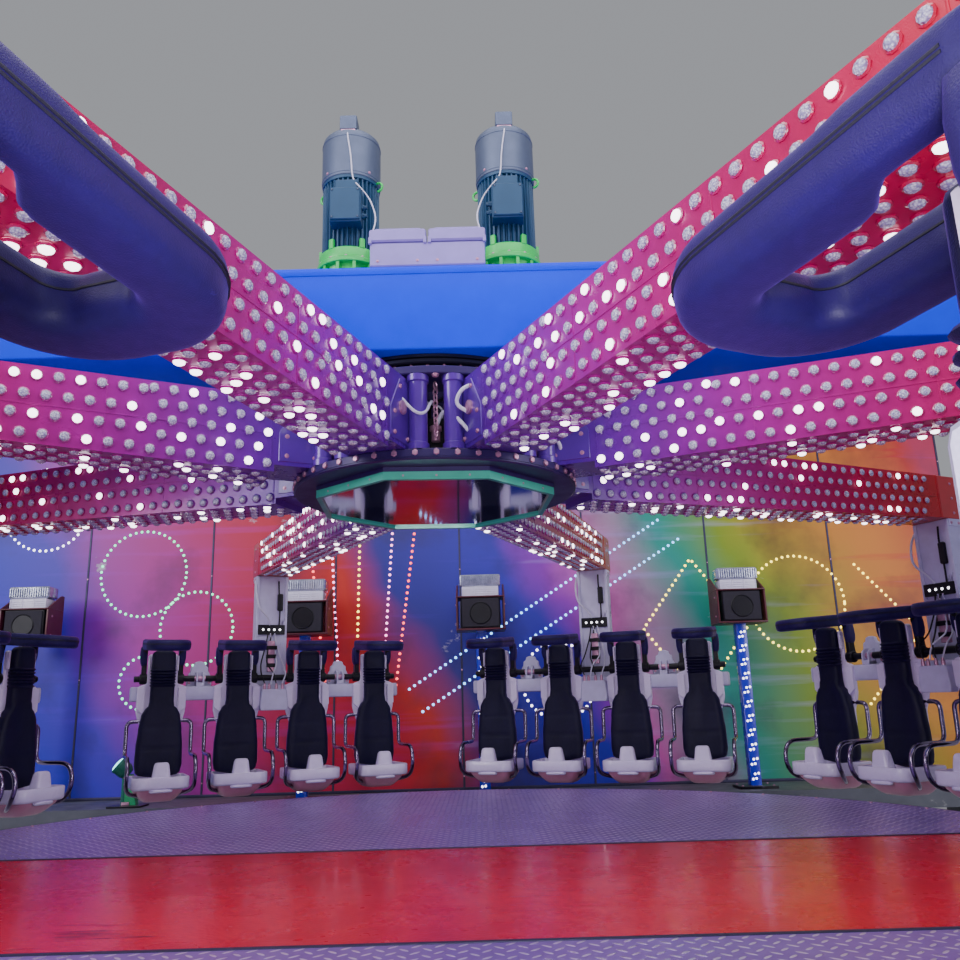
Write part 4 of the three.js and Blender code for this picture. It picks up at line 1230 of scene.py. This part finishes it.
SLEEVE_LEVELS = (
    (2.082, 3.806, 3.848, 0.136, 0.176), (2.07, 3.79, 3.862, 0.129, 0.186), (2.03, 3.787, 3.869, 0.129, 0.189),
    (1.98, 3.788, 3.876, 0.129, 0.188), (1.94, 3.793, 3.878, 0.129, 0.182), (1.918, 3.8, 3.872, 0.131, 0.174),
    (1.91, 3.81, 3.862, 0.136, 0.168),
)


def padded_sleeves():
    """Padded sleeves that carry each cushion's two rear ends down over the arms."""
    form = Form(M["loop"])
    for offset in SEAT_OFFSETS:
        for side in (-1, 1):
            rings = []
            for z, front, back, near, far in SLEEVE_LEVELS:
                ends = sorted((offset + side * near, offset + side * far))
                rings.append([(p[0], p[1], z) for p in rectangle((front, back), ends, 0.022, 3)])
            form.put(skin(rings))
    return form


def restraints():
    cushion = padded_loop().mesh("padded_loop", 70)
    sleeves = padded_sleeves().mesh("padded_sleeves", 70)
    frame_mesh = restraint_frame().mesh("restraint_frame")
    for row in ROWS:
        spoke = row_place(row)
        body = f"restraint_row_{row}"
        show(f"restraint_frame_{row}", frame_mesh, body, spoke, replaces=(f"restraints_{row}",))
        show(f"padded_sleeves_{row}", sleeves, body, spoke)
        for number, offset in enumerate(SEAT_OFFSETS, 1):
            loop = show(f"loop_{row}_{number}", cushion, body, spoke @ loop_place(offset))


rows()
restraints()

# Deck edges, sound and light stacks, floodlight and wall.


def deck_trim():
    form = Form(M["wall_trim"], M["bolt"])
    for y in (-1.625, 0.235):
        reach = math.sqrt(DECK_R ** 2 - y ** 2) - 0.02
        form.put(block((-reach, reach), (y - 0.012, y + 0.012), (DECK_TOP - 0.004, DECK_TOP + 0.004), 0.002, axis="x"))
    edge = [(DECK_R * 1.001 * math.cos(a), DECK_R * 1.001 * math.sin(a)) for a in [2 * math.pi * i / 96 for i in range(97)]]
    form.put(tube([(x, y, DECK_TOP - 0.008) for x, y in edge], 0.009, 6), 0)
    form.put(tube([(x, y, DECK_TOP - 0.052) for x, y in edge], 0.009, 6), 0)
    for i in range(48):
        angle = 7.5 * i
        form.put(bolt(0.009), 1, at(turn=angle) @ at(DECK_R - 0.06, 0, DECK_TOP))
    show("deck_trim", form, "base")


def stack(name, x):
    """A sound and light stack: foot, lamp pole, framed speaker and two ribbed light boxes."""
    form = Form(M["pole"], M["speaker"], M["cloth"], M["diffuser"], M["black"], M["dot_white"], M["bolt"], M["lens_clear"])
    form.put(block((-0.198, 0.198), (-0.148, 0.148), (0, 0.028), 0.004), 4)
    for sx in (-1, 1):
        for sy in (-1, 1):
            form.put(bolt(0.011), 6, at(sx * 0.16, sy * 0.11, 0.028))
    form.put(block((-0.058, 0.058), (-0.058, 0.058), (0.02, 1.69), 0.008, 0.014), 0)
    for level in range(11):
        z = 0.09 + level * 0.145
        for dx, dz in ((-0.03, 0.0), (0.004, 0.006), (-0.006, 0.05), (0.03, 0.056)):
            form.put(turned([(0.0125, 0), (0.0105, 0.005), (0.005, 0.008)], 8), 5, at(dx, -0.0578, z + dz, 90, "X"))
    # The speaker's case, its cloth and the maroon frame that holds it.
    form.put(block((-0.212, 0.212), (-0.16, 0.165), (1.7, 2.03), 0.01, 0.015, "y"), 4)
    form.put(block((-0.198, 0.198), (-0.172, -0.155), (1.715, 2.015), 0.004, 0.02, "y"), 2)
    form.put(turned([(0.115, 0.0), (0.12, 0.004), (0.112, 0.009), (0.106, 0.004)], 40), 4, at(0, -0.171, 1.86, 90, "X"))
    form.put(block((-0.264, 0.264), (-0.178, 0.178), (1.681, 1.701), 0.005, 0.012), 1)
    form.put(block((-0.264, 0.264), (-0.178, 0.178), (2.028, 2.044), 0.005, 0.012), 1)
    for side in (-1, 1):
        cheek = eased([(-0.172, 1.69), (0.175, 1.69), (0.175, 2.2), (0.11, 2.2), (-0.172, 2.04)], 0.02, 3)
        form.put(slab([(q[0], q[1]) for q in cheek], *sorted((side * 0.243, side * 0.262)), 0.003, "x"), 1)
        for z in (1.76, 1.96):
            form.put(bolt(0.009), 6, at(side * 0.262, -0.08, z, 90 * side, "Y"))
    # The lower box has an upright rib at each third, and the upper one is clear and corrugated.
    form.put(block((-0.2, 0.2), (-0.1, 0.1), (2.046, 2.155), 0.008, 0.014), 3)
    for i in range(4):
        across = -0.19 + 0.38 * i / 3
        form.put(block((across - 0.006, across + 0.006), (-0.108, -0.092), (2.05, 2.15), 0.003), 3)
    for z in (2.078, 2.1, 2.122):
        form.put(block((-0.186, 0.186), (-0.105, -0.095), (z - 0.004, z + 0.004), 0.002), 3)
    form.put(block((-0.222, 0.222), (-0.1, 0.11), (2.158, 2.284), 0.012, 0.022), 7)
    for i in range(17):
        across = -0.2 + 0.025 * i
        form.put(block((across - 0.007, across + 0.007), (-0.112, -0.095), (2.172, 2.27), 0.004), 7)
    show(name + "_case", form, "base", at(x, 4.9, STAGE_TOP + 0.0003), replaces=(name,))


def floodlight():
    """A lamp that shines up and to the left from a flat foot."""
    form = Form(M["flood"], M["flood_base"], M["black"], M["lens"], M["bolt"])
    form.put(block((-0.173, 0.173), (-0.128, 0.128), (0, 0.018), 0.004, 0.01), 2)
    stem = [(-0.03, 0.015), (0.095, 0.015), (0.068, 0.14), (0.026, 0.315), (-0.03, 0.315)]
    form.put(slab(stem, -0.043, 0.043, 0.005, "y"), 1)
    form.put(block((-0.062, -0.026), (-0.045, 0.045), (0.015, 0.318), 0.005), 0)
    for side in (-1, 1):
        form.put(block((-0.052, 0.03), sorted((side * 0.044, side * 0.052)), (0.02, 0.05), 0.003), 4)
        form.put(bolt(0.012), 4, at(-0.03, side * 0.044, 0.29, -90 * side, "X"))
    head = at(-0.005, 0, 0.317, 15) @ at(turn=-50, axis="Y")
    form.put(turned([(0.05, 0), (0.058, 0.006), (0.077, 0.034), (0.081, 0.06), (0.083, 0.118), (0.089, 0.122),
                     (0.089, 0.15), (0.08, 0.152)], 48), 0, head)
    for z in (0.05, 0.068, 0.086, 0.104):
        form.put(turned([(0.08, z), (0.0885, z + 0.002), (0.0885, z + 0.007), (0.08, z + 0.009)], 48), 0, head)
    form.put(turned([(0.079, 0.148), (0.074, 0.158), (0.056, 0.167), (0.03, 0.172), (0.008, 0.173)], 32), 3, head)
    show("floodlight_head", form, "base", at(-3.415, 4.76, STAGE_TOP + 0.0003), replaces=("floodlight",))


def dot(size):
    return turned([(size, 0.0), (size * 0.8, size * 0.4), (size * 0.3, size * 0.6)], 8)


def dotted(form, points, gap, size=0.016):
    """Lamps along a line of (x, z) points on the wall's face."""
    spots = []
    carry = 0.0
    for (x0, z0), (x1, z1) in zip(points, points[1:]):
        length = math.hypot(x1 - x0, z1 - z0)
        while carry < length:
            t = carry / length
            spots.append((x0 + (x1 - x0) * t, z0 + (z1 - z0) * t))
            carry += gap
        carry -= length
    for x, z in spots:
        form.put(dot(size), 0, at(x, WALL_FACE, z, 90, "X"))


def ring_line(x, z, radius, sides=48, start=0.0, stop=360.0):
    angles = [math.radians(start + (stop - start) * i / sides) for i in range(sides + 1)]
    return [(x + radius * math.cos(a), z + radius * math.sin(a)) for a in angles]


def wall_lights():
    designs = {
        "green": [ring_line(-3.7, 3.1, 0.5), ring_line(-3.05, 2.45, 0.42), ring_line(-3.6, 1.85, 0.3)],
        "red": [[(-1.55, 1.75), (-1.95, 4.9)], [(-0.75, 1.75), (-0.35, 4.9)]],
        "pink": [[(-1.4, 1.75), (-1.6, 4.9)], [(-0.9, 1.75), (-0.7, 4.9)]],
        "yellow": [[(-1.2, 1.75), (-1.15, 4.9)], ring_line(3.9, 2.55, 0.55), [(2.7, 1.5), (3.3, 2.3), (2.7, 3.1), (2.1, 2.3), (2.7, 1.5)],
                   [(4.6, 1.4), (5.3, 2.2), (4.6, 3.0)]],
        "blue": [[(-0.6, 1.7), (2.4, 3.6)], [(-0.45, 1.45), (2.6, 3.35)]],
        "white": [ring_line(1.1, 1.75, 0.42), ring_line(-4.9, 3.9, 0.5)],
    }
    for colour, lines in designs.items():
        form = Form(M["dot_" + colour])
        for line in lines:
            dotted(form, line, 0.07)
        show(f"wall_lamps_{colour}", form, "base")


def wall_trim():
    """Aluminium joint strips between the boards and round the edge, with bolts."""
    form = Form(M["wall_trim"], M["bolt"])
    for i in range(9):
        x = -5.8 + 11.6 * i / 8
        x = min(max(x, -5.785), 5.785)
        form.put(block((x - 0.011, x + 0.011), (5.493, 5.502), (0.602, 5.198), 0.002), 0)
        for z in (0.75, 1.9, 3.05, 4.2, 5.1):
            form.put(bolt(0.006), 1, at(x, 5.494, z, 90, "X"))
    for z in (0.602, 5.17):
        form.put(block((-5.797, 5.797), (5.491, 5.503), (z, z + 0.03), 0.003, axis="x"), 0)
    show("wall_trim", form, "base")


deck_trim()
for index, stack_x in enumerate((-4.66, -1.67, 0.23, 3.03), 1):
    stack(f"speaker_stack_{index}", stack_x)
floodlight()
wall_lights()
wall_trim()

# Studio floor and light.


def studio():
    size = 60.0
    mesh = bpy.data.meshes.new("floor")
    mesh.from_pydata([(-size, -size, 0), (size, -size, 0), (size, size, 0), (-size, size, 0)], [], [(0, 1, 2, 3)])
    floor = bpy.data.objects.new("floor", mesh)
    finish = Finish("floor_grey")
    cloud = finish.use("uneven_tone", Scale=0.3)
    finish.set(Base_Color=blended(finish.tree, cloud, linear(206, 206, 210), linear(214, 214, 217)), Roughness=0.8)
    mesh.materials.append(finish.material)
    bpy.context.scene.collection.objects.link(floor)
    world = bpy.data.worlds.new("studio")
    world.use_nodes = True
    world.node_tree.nodes["Background"].inputs[0].default_value = (0.8, 0.82, 0.88, 1.0)
    world.node_tree.nodes["Background"].inputs[1].default_value = 0.42
    bpy.context.scene.world = world
    for name, spot, aim, size, power in (
        ("key_light", (-11.0, -7.5, 7.0), (0, 0, 2.0), 6.0, 1150.0),
        ("fill_light", (11.5, -6.5, 4.5), (0, 0, 1.8), 6.0, 700.0),
        ("wall_light", (0.0, -1.5, 7.5), (0, 5.2, 1.5), 6.0, 350.0),
        ("under_light", (0.0, -5.9, 0.95), (0, 0, 2.9), 1.7, 190.0),
    ):
        light = bpy.data.objects.new(name, bpy.data.lights.new(name, "AREA"))
        light.data.size = size
        light.data.energy = power
        light.location = spot
        light.rotation_euler = (Vector(aim) - Vector(spot)).to_track_quat("-Z", "Y").to_euler()
        bpy.context.scene.collection.objects.link(light)


studio()
